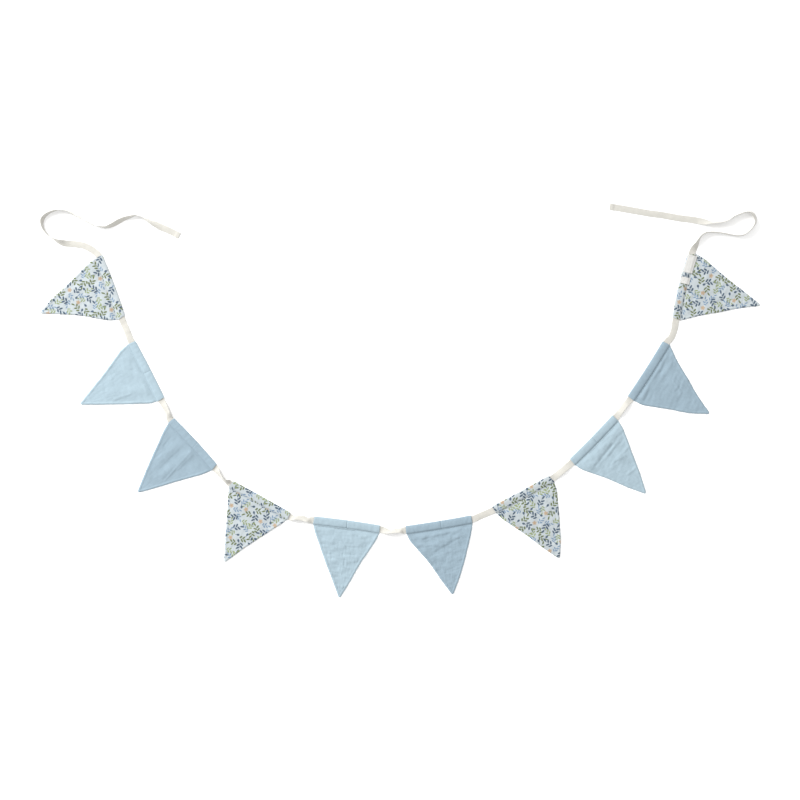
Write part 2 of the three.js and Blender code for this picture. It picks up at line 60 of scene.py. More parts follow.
# Rims of a flag: how far in it has its full thickness, and how far it rolls down as a share of half of that
CLOTH_ROUND = 2.8 * MM
RIM_DROP = 0.9

# Tip, and how unevenly the sides are cut: height and lengths of the waves
TIP_WIDTH = 3.0 * MM
TIP_ROUND = 2.2 * MM
TIP_LEAST_SHARE = 0.06
SIDE_WAVER = 0.09 * MM
SIDE_WAVES = MM * np.array((31, 17, 9))

# Turned seams along the sides. Their puckers: least share of the seam's height, the rest, the longest wave.
SEAM_WIDTH = 4.4 * MM
SEAM_SOFT = 1.2 * MM
SEAM_EXTRA = 0.6 * MM
PUCKER_LEAST = 0.75
PUCKER_MORE = 0.5
PUCKER_WAVE = 11 * MM

# Tunnel, where the folds start below it, and how far down the body follows the head's bow
HEM_DEPTH = 17.6 * MM
FOLD_START = 8 * MM
HEAD_BOW_FADE = (HEM_DEPTH + 3 * MM, 60 * MM)

# Swell of the tunnel's cloth over the tape: where it rises and falls, its height, longest wave and squeeze
TUNNEL_SWELL_RISE = (1.5 * MM, 5 * MM)
TUNNEL_SWELL_FALL = (13 * MM, 16 * MM)
TUNNEL_SWELL_HEIGHT = 0.4 * MM
TUNNEL_SWELL_WAVE = 34 * MM
TUNNEL_SWELL_SQUEEZE = 2.2

# Wrinkles of a flag's body: a broad swell, and finer ones drawn out along the head and down from it.
# Columns: height, longest wave, squeeze along the head and down from it, and the seed's step.
SWELL_HEIGHT = 0.85 * MM
SWELL_WAVE = 46 * MM
FINE_WRINKLES = [(0.50 * MM, 15 * MM, 0.35, 1, 20), (0.34 * MM, 12 * MM, 1, 0.4, 40)]

# Seeds: the first flag's, the steps from a flag's to its puckers' and its tunnel's, and the labels'
FIRST_SEED = 101
PUCKER_SEED = 50
TUNNEL_SEED = 80
LABEL_SEED = 7

# Seeded swells: how many sines, the shortest wave as a share of the longest, and how far each is bent
WAVE_COUNT = 9
WAVE_SHORTEST = 0.3
WAVE_BEND = 1.3

# Shortest cross product that still gives a direction
LEAST_NORMAL = 1e-12

# A flag's cloth along its length: from the tunnel's hem over the tape, round the head and back under it.
# Columns: depth below the head, height of the cloth's middle, thickness, in millimetres.
TUNNEL_PATH = MM * np.array([
    (17.6, 1.40, 0.30),
    (16.9, 1.48, 0.50),
    (16.4, 1.38, 0.60),
    (16.0, 1.08, 0.64),
    (15.6, 1.46, 0.70),
    (14.9, 2.14, 0.80),
    (13.4, 2.62, 0.90),
    (11.0, 2.96, 0.95),
    (8.0, 3.14, 1.00),
    (5.4, 3.12, 1.00),
    (3.2, 2.94, 1.00),
    (1.7, 2.68, 1.00),
    (0.8, 2.24, 1.00),
    (0.5, 1.60, 1.00),
    (0.8, 0.98, 1.00),
    (1.8, 0.56, 1.00),
    (3.4, 0.50, 1.00),
    (14.0, 0.50, 1.00),
    (16.0, 0.44, 0.80),
    (17.2, 0.60, 1.15),
    (18.4, 0.73, 1.44),
    (20.0, 0.75, 1.50),
])
HEAD_ROW = 13

# Distances of the path's rows along it
PATH_STOPS = np.concatenate([[0], np.cumsum(np.hypot(*np.diff(TUNNEL_PATH[:, :2], axis=0).T))])
HEAD_STOP = PATH_STOPS[HEAD_ROW]
PATH_END = PATH_STOPS[-1]

# Shares of a side's length where the table gives how far it bows out
SIDE_PLACES = (0, 0.12, 0.25, 0.5, 0.75, 1)

# One row per flag, in millimetres. at: the upper corner of the tunnel mouth nearer the left tie. turn: the
# head's direction in degrees. tip, mouth_a, mouth_b: along the head and down from it. head_bow, bows_a and
# bows_b: how far the head and the sides stand outwards. print_at: where on its cloth the flag was cut.
# shade: share of the cloth's colour in its thread, partly the thread's own darker tone and partly
# painted shade of the stitch groove, darkest where the stitch line lies in shade. crumple: how high its
# wrinkles are, as a share.
FLAG_COLUMNS = ("name", "cloth", "at", "turn", "width", "tip", "mouth_a", "mouth_b", "head_bow",
                "bows_a", "bows_b", "print_at", "shade", "crumple")
FLAGS = [dict(zip(FLAG_COLUMNS, row)) for row in [
    ("flag_01", "leaf_print", (-595, 290), -69.6, 129, (65, 156), (2, 18.9), (132.5, 15), 1.5,
     (2, 1.6, 1, 2.7), (2.3, 1.2, -2.4, -1.6), (0, 0), 0.9, 0.9),
    ("flag_02", "pale_blue", (-529, 118), -62.9, 126.5, (62, 155), (-1, 15), (128, 13), 0.8,
     (3.8, 2.8, 0.9, 0.4), (3.8, 3.5, 2.8, 1.8), (0, 0), 0.9, 0.6),
    ("flag_03", "mid_blue", (-451.6, -36), -47.2, 125.5, (59.5, 153.5), (-1, 13), (128, 15), 1.5,
     (2.5, 2.4, 2.4, 1.7), (2.1, 2, 1, 1.1), (140, 30), 0.85, 0.4),
    ("flag_04", "leaf_print", (-332.4, -162), -29.1, 129.5, (62.5, 149.5), (-3.4, 13), (131.5, 14), 0.6,
     (0.5, 0.7, 0.5, 0.6), (0.3, -0.3, -1.5, -1.4), (23, 41), 0.9, 0.9),
    ("flag_05", "pale_blue", (-170.8, -232.6), -7.8, 132, (71, 153.8), (-1, 15), (133, 14), 1.2,
     (1.7, 1.8, 1.8, 0.5), (1.8, 1.1, -0.8, 0.5), (300, 90), 0.45, 1.15),
    ("flag_06", "mid_blue", (11, -252), 9.3, 132.7, (71, 149.4), (-1, 14), (133.3, 15), -0.8,
     (3, 1.3, -1.4, 0), (2.3, 3.2, 4.3, 3.5), (450, 10), 0.45, 1.0),
    ("flag_07", "leaf_print", (184, -212.6), 28.4, 129, (69, 154.6), (0.7, 16), (132.7, 15), -0.5,
     (1.8, 1.3, 0, 0.9), (4.1, 4.6, 4.7, 4.6), (50, 17), 0.9, 0.9),
    ("flag_08", "pale_blue", (339.6, -117.4), 45.7, 122, (56.5, 156), (-2.3, 14), (122, 16), -1,
     (3.1, 2.4, 0.6, 1.7), (2.8, 3.1, 2.5, 2.4), (620, 70), 0.4, 0.85),
    ("flag_09", "mid_blue", (455.2, 8), 57.4, 130, (58.5, 155.8), (-1.3, 14), (131.4, 16), -1,
     (5.2, 5.6, 4.7, 5), (-2.3, -3.4, -3.1, -3.2), (790, 40), 0.45, 0.65),
    ("flag_10", "leaf_print", (544.6, 166), 76.3, 128.6, (64.7, 164.4), (-3.2, 17), (133.4, 18), 3,
     (-1.3, -2.7, -2.4, -2.7), (2.1, 1, -0.2, 0.1), (11, 30), 0.9, 0.9),
]]

# Main folds, in millimetres on the garland: both ends of the crest, how far the cloth lifts, half its width
FOLDS = {
    "flag_01": [(-640, 252, -590, 190, 0.9, 22)],
    "flag_02": [(-576, 12, -490, 24, 1.4, 9), (-580, 66, -520, 62, 0.9, 12)],
    "flag_03": [(-472, -148, -418, -106, 1.3, 7), (-486, -126, -436, -84, 1.1, 8)],
    "flag_04": [(-310, -190, -300, -262, 0.9, 22)],
    "flag_05": [(-148, -290, -84, -288, 1.0, 10), (-124, -314, -96, -322, 1.1, 9)],
    "flag_06": [(44, -273, 112, -262, 1.5, 7), (52, -298, 116, -272, 1.3, 9)],
    "flag_07": [(250, -200, 286, -236, 0.9, 20)],
    "flag_08": [(430, -66, 380, -128, 2.1, 11), (452, -104, 428, -128, 1.0, 10)],
    "flag_09": [(528, 90, 484, 12, 2.3, 7), (560, 40, 540, 6, 0.8, 14)],
    "flag_10": [(596, 244, 620, 192, 0.9, 20)],
}

# Fine creases, in millimetres on the garland: both ends, height above the cloth (a trough is below it) and
# half width
CREASES = {
    "flag_02": [(-570, 2, -540, 12, 0.55, 2.2), (-536, 60, -528, 56, -0.5, 2),
                (-584, 56, -576, 44, 0.6, 3), (-554, 34, -544, 26, -0.5, 2.5),
                (-500, 10, -486, 2, -0.45, 2.5), (-560, 80, -520, 84, 0.35, 3),
                (-560, -10, -520, -4, 0.4, 2.4)],
    "flag_03": [(-404, -87, -470, -161, 0.6, 1.5), (-472, -92, -458, -74, -0.4, 1.8),
                (-490, -116, -474, -104, -0.35, 1.8), (-474, -130, -440, -100, -0.25, 1.8),
                (-386, -88, -396, -100, 0.6, 1.4), (-440, -60, -420, -90, 0.3, 2.4),
                (-416, -110, -446, -140, 0.35, 1.5)],
    "flag_05": [(-114, -308, -90, -310, -0.9, 2.2), (-156, -288, -130, -290, -0.8, 2.0),
                (-140, -306, -140, -316, 0.7, 2), (-134, -320, -96, -340, 0.7, 2.4),
                (-130, -354, -120, -354, -0.8, 2.0), (-100, -250, -96, -284, 0.6, 2.6),
                (-84, -262, -70, -290, 0.7, 2.4), (-120, -268, -104, -300, -0.6, 2.2),
                (-110, -318, -112, -330, -0.7, 1.8)],
    "flag_06": [(48, -279, 100, -267, -0.8, 2.2), (70, -304, 120, -276, -0.7, 2.2),
                (110, -274, 116, -274, 0.6, 2), (40, -300, 70, -340, 0.4, 3.5),
                (36, -290, 84, -290, 0.5, 2.6), (60, -318, 98, -300, 0.4, 2.6)],
    "flag_08": [(424, -90, 400, -120, -1.2, 2.6), (390, -132, 400, -122, -0.9, 2.2),
                (450, -110, 436, -120, 0.8, 2.2), (470, -136, 456, -148, 0.7, 2.4),
                (436, -84, 416, -108, 1.0, 2.4), (420, -74, 384, -108, -0.7, 2.2),
                (460, -90, 424, -128, 0.7, 2.0), (446, -64, 430, -80, -0.7, 2.0)],
    "flag_09": [(536, 90, 520, 56, -1.0, 3.6), (520, 56, 500, 30, -0.9, 3.2), (500, 30, 490, 0, -0.7, 2.6),
                (544, 76, 510, 24, 0.6, 3), (556, 28, 548, 18, 0.6, 1.8), (560, 30, 556, 20, -0.6, 1.8),
                (564, 6, 558, -2, -0.7, 3), (546, 38, 562, 14, 0.6, 2.0), (552, 44, 574, 24, -0.6, 1.8),
                (556, 52, 580, 36, 0.5, 2.0)],
}

# Where a turned-out flag's seam crosses its tunnel, along the head, and how deep it shows, in millimetres
TUNNEL_SEAMS = {
    "flag_02": (66, 0.4), "flag_03": (68, 0.4), "flag_05": (66.4, 0.95),
    "flag_06": (70.5, 0.95), "flag_08": (62.3, 0.95), "flag_09": (66, 0.4),
}
SEAM_REACH = 1.7 * MM
SEAM_COLUMNS = MM * np.array((-1.7, -1.1, -0.7, -0.35, 0, 0.35, 0.7, 1.1, 1.7))

# Rows of stitches, in millimetres: depth below the head, start and end along it. Every flag has the first
# row, which stops short of both mouths.
STITCH_DEPTH = 16
STITCH_INSET = 1.6 * MM
SECOND_STITCHES = {"flag_05": (18.6, 10, 84), "flag_08": (19.6, 36, 104)}

# Tape
TAPE_WIDTH = 13 * MM
TAPE_THICK = 0.9 * MM
TAPE_HEM_LENGTH = 9 * MM
TAPE_HEM_THICK = 1.8 * MM
TAPE_HEM_FADE = (TAPE_HEM_LENGTH - 0.5 * MM, TAPE_HEM_LENGTH + 0.3 * MM)
TAPE_EDGE_STEPS = MM * np.array((0, 0.08, 0.22, 0.45, 0.9))
TAPE_STEP = 2 * MM
TAPE_COLUMNS = 8
TUNNEL_TAPE_LEVEL = 1.5 * MM
FREE_TAPE_LEVEL = 0.5 * MM
CHANNEL_DEPTH = 8.1 * MM
MOUTH_PAST = 2 * MM
TUNNEL_TAPE_STOPS = 5
LEAST_CURL = 0.01

# Stops of the tape where it lies free: x and y in millimetres, how far it leans over about its own line
# and how far its edges bend down, in degrees. The left tie runs from its free end to the first flag.
LEFT_TIE = [
    (-441, 328, 0, 0), (-452, 334, 0, 0), (-464, 340, 2, 20), (-476, 345, 6, 20),
    (-488, 351, 24, 10), (-500, 357, 56, 0), (-509, 363, 72, 0), (-518, 367.5, 80, 0),
    (-529, 369, 94, 0), (-540, 366, 110, 0), (-552, 362, 124, 0), (-564, 356, 135, 0),
    (-576, 349.5, 127, 0), (-588, 345.5, 108, 0), (-598, 346.5, 98, 0), (-609, 349.5, 84, 0),
    (-620, 355, 79, 0), (-631, 360.5, 76, 0), (-641, 367, 70, 0), (-651, 372.5, 68, 0),
    (-662, 378, 74, 0), (-676, 380.5, 82, 0), (-689, 379, 96, 0), (-700, 375, 104, 0),
    (-709.5, 368.5, 114, 0), (-715, 360.5, 121, 0), (-715.5, 351, 109, 0), (-711, 339, 100, 0),
    (-702, 328.5, 95, 0), (-692, 321.5, 78, 0), (-682, 316.5, 54, 0), (-671, 313.5, 20, 10),
    (-658, 312.5, 4, 20), (-644, 311, 0, 20), (-632, 308.5, 0, 15), (-620, 303, 0, 10),
    (-610, 296, 0, 0),
]
GAPS = {
    "flag_01": [(-552, 152, 0, 20), (-546, 138, 6, 40)],
    "flag_02": [(-470.5, -13, 28, 30), (-464, -27, 44, 30)],
    "flag_03": [(-365, -143.4, 42, 20), (-360, -151, 60, 10),
                (-354.6, -157.6, 72, 0), (-347.6, -163, 56, 0)],
    "flag_04": [(-211, -235.4, -60, 0), (-203, -235.2, -40, 20),
                (-194, -236.2, -34, 20), (-185, -239.2, -50, 0)],
    "flag_05": [(-29, -261.4, -30, 10), (-19.5, -263, -63, 0),
                (-8.5, -261.2, -46, 10), (0.5, -260.4, -48, 0)],
    "flag_06": [(158, -233, 0, 20), (171, -227.5, 0, 20)],
    "flag_07": [(316, -148, -16, 20), (326, -140, -22, 15)],
    "flag_08": [(441, -22.5, -34, 20), (451, -9, -30, 20)],
    "flag_09": [(542.5, 125, 0, 25), (549, 143, 0, 20)],
}
RIGHT_TIE = [
    (588.5, 304, 20, 20), (594, 313.4, 54, 10), (598, 322, 73, 0), (603.5, 329.5, 80, 0),
    (610.5, 334, 84, 0), (620, 335.4, 85, 0), (632, 335, 85, 0), (644, 333.5, 85, 0),
    (656, 331.2, 85, 0), (668, 329, 85, 0), (679, 328.4, 85, 0), (689, 331, 84, 0),
    (698, 337.6, 84, 0), (706, 346.2, 81, 0), (710.6, 354.8, 71, 0), (710, 363.2, 61, 0),
    (706.5, 370.8, 56, 0), (700.5, 376.5, 72, 0), (691, 375.8, 92, 0), (679, 371.3, 95, 0),
    (668.5, 367, 95, 0), (660, 361.8, 91, 0), (653, 358.4, 80, 0), (644.5, 356.4, 74, 0),
    (631, 355.2, 72, 0), (619, 355, 60, 0), (608.5, 356.3, 26, 15), (596, 358.6, 6, 20),
    (580, 361, 0, 20), (560, 363.5, 0, 20), (540, 367, 0, 20), (520, 370.5, 0, 20),
    (500, 373, 0, 20), (480, 376.5, 0, 20), (460, 380, 0, 15), (440, 383.5, 0, 0),
    (419, 387, 0, 0),
]

# Labels over the tunnel of flag_10, in millimetres: start and end along the head. Their path down over the
# tunnel has columns depth and height of the label's middle.
LABELS = {"label_long": (93, 129.4), "label_small": (70, 83.5)}
LABEL_PATH = MM * np.array([
    (19.9, 2.15), (18.8, 2.72), (17.2, 2.84), (15.8, 3.50),
    (14.2, 3.95), (8.3, 4.05), (3.4, 3.98), (1.3, 3.78),
])
LABEL_DEPTH_STEP = 0.7 * MM
LABEL_LENGTH_STEP = 0.8 * MM
LABEL_THICK = 0.6 * MM
LABEL_HEM = 3.4 * MM
LABEL_HEM_SOFT = 0.5 * MM
LABEL_HEM_EXTRA = 0.35 * MM
LABEL_SWELL_HEIGHT = 0.22 * MM
LABEL_SWELL_WAVE = 16 * MM

# Stitches: tubes of so many rings and sides that rise over the cloth and dip into it, as shares of their own
# radius. Heights of the cloth under the first and the second row.
STITCH_PITCH = 2.7 * MM
STITCH_LENGTH = 2.1 * MM
STITCH_RINGS = 7
STITCH_SIDES = 6
STITCH_RISE = 1.5
STITCH_DIP = 0.9
STITCH_LEVELS = (1.56 * MM, 1.7 * MM)
THREAD_RADIUS = 0.26 * MM

# Printed cloth: sides of the repeat, and its motifs in millimetres. Columns: kind, x, y, turn in degrees.
REPEAT = (66, 64)
MOTIFS = [
    ("navy", 8, 8, 40), ("blue", 24, 3, 160), ("olive", 41, 9, -55), ("sage", 57, 5, 105),
    ("sage", 3, 24, -115), ("bud", 17, 21, 20), ("olive", 31, 24, 20), ("navy", 48, 25, 120),
    ("blue", 62, 21, 70), ("olive", 14, 39, 205), ("navy", 31, 41, -75), ("peach", 43, 40, 0),
    ("blue", 56, 42, 25), ("bud", 23, 31, 130), ("blue", 1, 53, -30), ("sage", 18, 56, 15),
    ("peach", 6, 33, 0), ("olive", 43, 56, 135), ("bud", 62, 33, -60), ("sage", 30, 58, 80),
    ("navy", 58, 58, -140), ("bud", 33, 12, 80), ("bud", 51, 12, 200),
]

# Kinds of motif. A sprig's columns: stem's half length, pitch of its leaves, half length and half width of
# a leaf, bend of the stem, colour. A flower's and a bud's: radius, colour.
SPRIGS = {
    "navy": (5.9, 5.9, 3.8, 1.75, 0.016, (0.034, 0.060, 0.094)),
    "olive": (5.6, 5.7, 3.6, 1.60, -0.018, (0.092, 0.114, 0.042)),
    "sage": (5.2, 5.3, 3.2, 1.40, 0.020, (0.190, 0.228, 0.110)),
    "blue": (4.8, 5.0, 2.9, 1.32, 0.024, (0.125, 0.190, 0.275)),
}
LEAF_LEAN = np.radians(50)
BUD = (2.2, (0.040, 0.068, 0.105))
PEACH = (4.8, (0.350, 0.265, 0.185))
PEACH_MIDDLE = (0.330, 0.215, 0.130)
PRINT_GROUND = (0.370, 0.408, 0.424)

# Motifs' own shapes, in millimetres and shares of their radius: how steeply the ink ends, a stem's width,
# how far it runs past its leaves and they stand off it, a bud's length, the place, length and half width of
# its cup, a flower's petals, how deep it dips between them, how steeply its ink ends, radius of its middle
INK_EDGE = 5.0
STEM_EDGE = 1.8
STEM_PAST = 0.5
LEAF_OFF = 0.5
BUD_LENGTH = 1.35
CUP_PLACE = 1.7
CUP_LENGTH = 1.1
CUP_HALF_WIDTH = 0.5
PETALS = 5
PETAL_DIP = 0.4
PETAL_EDGE = 3.0
FLOWER_MIDDLE = 1.1

# Plain cloths, in linear red, green and blue
PLAIN_CLOTHS = {
    "pale_blue": (0.284, 0.366, 0.414),
    "mid_blue": (0.225, 0.298, 0.350),
}
TAPE_COLOUR = (0.462, 0.450, 0.412)
LABEL_COLOUR = (0.510, 0.507, 0.488)

# Surfaces: roughness and sheen of each kind
SURFACES = {
    "plain": (0.9, 0.12), "print": (0.9, 0.1), "tape": (0.8, 0.5),
    "label": (0.55, 0.1), "thread": (0.6, 0.2), "floor": (0.95, 0.0),
}
SHEEN_ROUGHNESS = 0.5
SPECULAR = 0.25

# Noise: its usual range and roughness
NOISE_LOW = 0.3
NOISE_HIGH = 0.7
NOISE_ROUGHNESS = 0.6

# Cotton, in millimetres: pitch of its threads, squeeze of the slubs along and across, and the slow drift.
# Tones are shares of the cloth's colour. A bump is its strength and height.
COTTON_THREAD = 0.42
SLUB_ALONG = (1.6, 0.10, 1.0)
SLUB_ACROSS = (0.09, 1.5, 1.0)
SLUB_SHIFT = (31.0, 7.0, 0.0)
SLUB_RISE = 1.4
PLAIN_SLUB = 0.10
PRINT_SLUB = 0.05
DRIFT_SCALE = 0.035
DRIFT_ROUGHNESS = 0.5
DRIFT_TONES = (0.96, 1.04)
WEAVE_TONES = (0.93, 1.05)
COTTON_BUMP = (0.35, 0.12 * MM)

# Wear of the print: size of its noise, the noise's range and how much of the ink is left
WEAR_SCALE = 0.9
WEAR_RANGE = (0.25, 0.6)
INK_LEFT = (0.78, 1.0)

# Tape: pitch of its twill and of its threads, how far the threads rise against the twill, and its tones
TWILL_PITCH = 1.1
TAPE_THREAD = 0.5
TAPE_THREAD_RISE = 0.3
TWILL_TONES = (0.94, 1.04)
TAPE_DRIFT_SCALE = 0.08
TAPE_DRIFT_TONES = (0.95, 1.05)
TAPE_BUMP = (0.4, 0.12 * MM)

# Label: pitch of its ribs, squeeze and rise of its floating threads, and their tones
RIB_PITCH = 0.35
FLOAT_SQUEEZE = (0.6, 4.0, 1.0)
FLOAT_RISE = 0.8
FLOAT_TONES = (0.95, 1.03)
LABEL_BUMP = (0.3, 0.08 * MM)

# Sewing thread: size of its noise, per metre, and its tones
SEWING_SCALE = 900.0
SEWING_TONES = (0.9, 1.06)
SEWING_BUMP = (0.4, 0.05 * MM)

# Camera, floor and light
VIEW_WIDTH = 1.6
CAMERA_HEIGHT = 6.0
SENSOR_WIDTH = 36
FLOOR_SIZE = 12.0
FLOOR_DROP = 0.2 * MM
FLOOR_COLOUR = (0.955, 0.955, 0.955)
SKY_STRENGTH = 1.07
KEY_POWER = 430
KEY_SIZE = 3.0
KEY_PLACE = (-3.7, 2.9, 2.7)


def smooth_at(places, values, at):
    """Cubic through a table's rows, for a whole array. Its slope at a row is the mean slope around it."""
    places = np.asarray(places, float)
    values = np.asarray(values, float)
    last = len(places) - 1
    rows = np.arange(last + 1)
    before = np.maximum(rows - 1, 0)
    after = np.minimum(rows + 1, last)
    slopes = (values[after] - values[before]) / (places[after] - places[before])
    row = np.clip(np.searchsorted(places, at, side="right") - 1, 0, last - 1)
    run = places[row + 1] - places[row]
    t = (at - places[row]) / run
    start = 2 * t ** 3 - 3 * t ** 2 + 1
    pull = (t ** 3 - 2 * t ** 2 + t) * slopes[row] + (t ** 3 - t ** 2) * slopes[row + 1]
    return start * values[row] + (1 - start) * values[row + 1] + run * pull


def smooth_step(value, low, high):
    """0 below low, 1 above high, and an even S between them."""
    share = np.clip((value - low) / (high - low), 0, 1)
    return share * share * (3 - 2 * share)


def round_rim(distance, radius):
    """Share of the full thickness at a distance from the rim: a quarter circle, full at the radius."""
    share = np.clip(distance / radius, 0, 1)
    return np.sqrt(1 - (1 - share) ** 2)


def rim_spaced(length, step):
    """Distances from 0 to length at about one step, closer together near both ends."""
    count = max(int(round((length - 2 * RIM_STEPS[-1]) / step)), 2)
    inner = np.linspace(RIM_STEPS[-1], length - RIM_STEPS[-1], count + 1)[1:-1]
    return np.concatenate([RIM_STEPS, inner, length - RIM_STEPS[::-1]])


def soft_waves(x, y, seed, longest):
    """Uneven swell between 0 and 1: mean of sines in seeded directions, each bent by a slower one."""
    rng = np.random.default_rng(seed)
    total = 0
    for _ in range(WAVE_COUNT):
        wave = longest * rng.uniform(WAVE_SHORTEST, 1)
        turn, phase, bend = rng.uniform(0, 2 * np.pi, 3)
        along = x * np.cos(turn) + y * np.sin(turn)
        across = y * np.cos(turn) - x * np.sin(turn)
        slower = np.sin(2 * np.pi * across / longest + bend)
        total = total + np.sin(2 * np.pi * along / wave + phase + WAVE_BEND * slower)
    return 0.5 + 0.5 * np.clip(total / np.sqrt(WAVE_COUNT), -1, 1)


def near_line(x, y, line, reach):
    """1 on a line given by its two ends, falling to 0 as half a cosine at a reach from it."""
    x1, y1, x2, y2 = (MM * value for value in line)
    run_x, run_y = x2 - x1, y2 - y1
    share = np.clip(((x - x1) * run_x + (y - y1) * run_y) / (run_x ** 2 + run_y ** 2), 0, 1)
    distance = np.hypot(x - x1 - share * run_x, y - y1 - share * run_y)
    return 0.5 + 0.5 * np.cos(np.pi * np.minimum(distance / reach, 1))


def double_skin(name, middle, normal, thick, cloth_place):
    """Closed mesh of a grid of middle points: skins half the thickness before and behind it.

    Both skins share the grid's rim, where the thickness is nothing. cloth_place is each point's place on
    the flat cloth and becomes the UV map.
    """
    rows, columns = thick.shape
    half = 0.5 * thick[..., None] * normal
    front = (middle + half).reshape(-1, 3)
    behind = (middle - half).reshape(-1, 3)
    number = np.arange(rows * columns).reshape(rows, columns)
    inner = np.zeros((rows, columns), bool)
    inner[1:-1, 1:-1] = True
    back_number = number.copy()
    back_number[inner] = rows * columns + np.arange(inner.sum())
    points = np.concatenate([front, behind[inner.ravel()]])
    places = cloth_place.reshape(-1, 2)
    places = np.concatenate([places, places[inner.ravel()]])
    faces = np.concatenate([squares(number), squares(back_number)[:, ::-1]])
    return make_piece(name, points, faces.tolist(), places)


def squares(number):
    """Faces between neighbouring rows and columns of a grid of point numbers."""
    corners = [number[:-1, :-1], number[:-1, 1:], number[1:, 1:], number[1:, :-1]]
    return np.stack(corners, axis=-1).reshape(-1, 4)


def make_piece(name, points, faces, places=None):
    """Smooth-shaded object from points, a list of faces and, where given, places on the cloth as UV map."""
    mesh = bpy.data.meshes.new(name)
    mesh.from_pydata(points.tolist(), [], faces)
    if places is not None:
        corners = np.empty(len(mesh.loops), np.int32)
        mesh.loops.foreach_get("vertex_index", corners)
        mesh.uv_layers.new(name="cloth").data.foreach_set("uv", places[corners].ravel())
    mesh.polygons.foreach_set("use_smooth", np.ones(len(mesh.polygons), bool))
    mesh.validate()
    piece = bpy.data.objects.new(name, mesh)
    bpy.context.scene.collection.objects.link(piece)
    return piece


def grid_normals(middle):
    """Unit normals of a grid of points: its direction along a row crossed with that down a column."""
    down, along = np.gradient(middle, axis=(0, 1))
    normal = np.cross(along, down)
    return normal / np.maximum(np.linalg.norm(normal, axis=-1, keepdims=True), LEAST_NORMAL)


def to_garland(flag, x, y):
    """A flag's own x along the head and y down from it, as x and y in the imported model's frame."""
    turn = np.radians(flag["turn"])
    at_x, at_y = MM * np.array(flag["at"]) - GARLAND_MIDDLE
    return at_x + x * np.cos(turn) + y * np.sin(turn), at_y + x * np.sin(turn) - y * np.cos(turn)


def head_bow(flag, x):
    """How far the head stands outwards at x along it: half a sine."""
    return MM * flag["head_bow"] * np.sin(np.pi * np.clip(x / (MM * flag["width"]), 0, 1))


def side_line(flag, side, depth):
    """Outline at each depth: down the mouth's edge, then the chord to the tip plus the table's bow."""
    out = -1 if side == "a" else 1
    head = MM * np.array((0 if side == "a" else flag["width"], 0))
    mouth = MM * np.array(flag["mouth_" + side])
    tip = MM * np.array(flag["tip"]) + (out * TIP_WIDTH / 2, 0)
    chord = tip - mouth
    outwards = out * np.array((chord[1], -chord[0])) / np.linalg.norm(chord)
    share = np.clip((depth - mouth[1]) / chord[1], 0, 1)[:, None]
    bow = MM * smooth_at(SIDE_PLACES, (0, *flag["bows_" + side], 0), share)
    on_side = mouth + chord * share + outwards * bow
    on_mouth = head + (mouth - head) * (depth / mouth[1])[:, None]
    return np.where(depth[:, None] <= mouth[1], on_mouth, on_side)


def tunnel_place(s):
    """Depth, height and thickness of the cloth at distances s along it from the tunnel's hem."""
    on_path = np.minimum(s, PATH_END)
    depth, height, thick = (smooth_at(PATH_STOPS, TUNNEL_PATH[:, column], on_path) for column in range(3))
    return depth + np.maximum(s - PATH_END, 0), height, thick


def fold_lift(flag, x, y):
    """How far the main folds lift the cloth: the highest of half cosines across their crests."""
    lift = np.zeros_like(x)
    garland_x, garland_y = x + GARLAND_MIDDLE[0], y + GARLAND_MIDDLE[1]
    for *line, rise, spread in FOLDS.get(flag["name"], []):
        lift = np.maximum(lift, MM * rise * near_line(garland_x, garland_y, line, 2 * MM * spread))
    return lift


def crease_height(flag, x, y):
    """Sum of the fine creases at each point, ridges above the cloth and troughs below it."""
    height = np.zeros_like(x)
    garland_x, garland_y = x + GARLAND_MIDDLE[0], y + GARLAND_MIDDLE[1]
    for *line, rise, spread in CREASES.get(flag["name"], []):
        height = height + MM * rise * near_line(garland_x, garland_y, line, 2 * MM * spread)
    return height


def flag_rows(flag):
    """Distances of a flag's rows along its cloth, from the tunnel's hem to the tip, closer at both ends."""
    body_length = MM * flag["tip"][1] - TUNNEL_PATH[-1, 0]
    body = rim_spaced(body_length + 2 * RIM_STEPS[-1], BODY_STEP)[len(RIM_STEPS):]
    s = np.concatenate([
        RIM_STEPS[:-1],
        np.arange(RIM_STEPS[-1], PATH_END, TUNNEL_STEP),
        PATH_END + body - 2 * RIM_STEPS[-1] + TUNNEL_STEP,
    ])
    return np.append(s[s < PATH_END + body_length], PATH_END + body_length)


def flag_sides(flag, depth, to_tip, seed):
    """The outline's two sides at each depth, cut a little unevenly and drawn together at the round tip."""
    rng = np.random.default_rng(seed)
    sides = [side_line(flag, side, depth) for side in ("a", "b")]
    for side in sides:
        phases = rng.uniform(0, 2 * np.pi, len(SIDE_WAVES))
        side[:, 0] += SIDE_WAVER * np.sin(2 * np.pi * depth[:, None] / SIDE_WAVES + phases).sum(axis=1)
    tip_share = np.maximum(round_rim(to_tip, TIP_ROUND), TIP_LEAST_SHARE)[:, None]
    centre = sum(sides) / 2
    return [centre + (side - centre) * tip_share for side in sides]


def flag_columns(flag, width):
    """Shares of each row's width where its columns stand, closer at both rims and where a seam crosses."""
    rim = RIM_STEPS * np.minimum(1, RIM_SHARE * width / RIM_STEPS[-1])[:, None] / width[:, None]
    shares = np.linspace(0, 1, COLUMNS + 1)[1:-1]
    if flag["name"] in TUNNEL_SEAMS:
        seam_place = MM * TUNNEL_SEAMS[flag["name"]][0]
        shares = np.sort(np.append(shares, (seam_place + SEAM_COLUMNS) / (MM * flag["width"])))
    inner = rim[:, -1:] + (1 - 2 * rim[:, -1:]) * shares
    return np.concatenate([rim, inner, 1 - rim[:, ::-1]], axis=1)


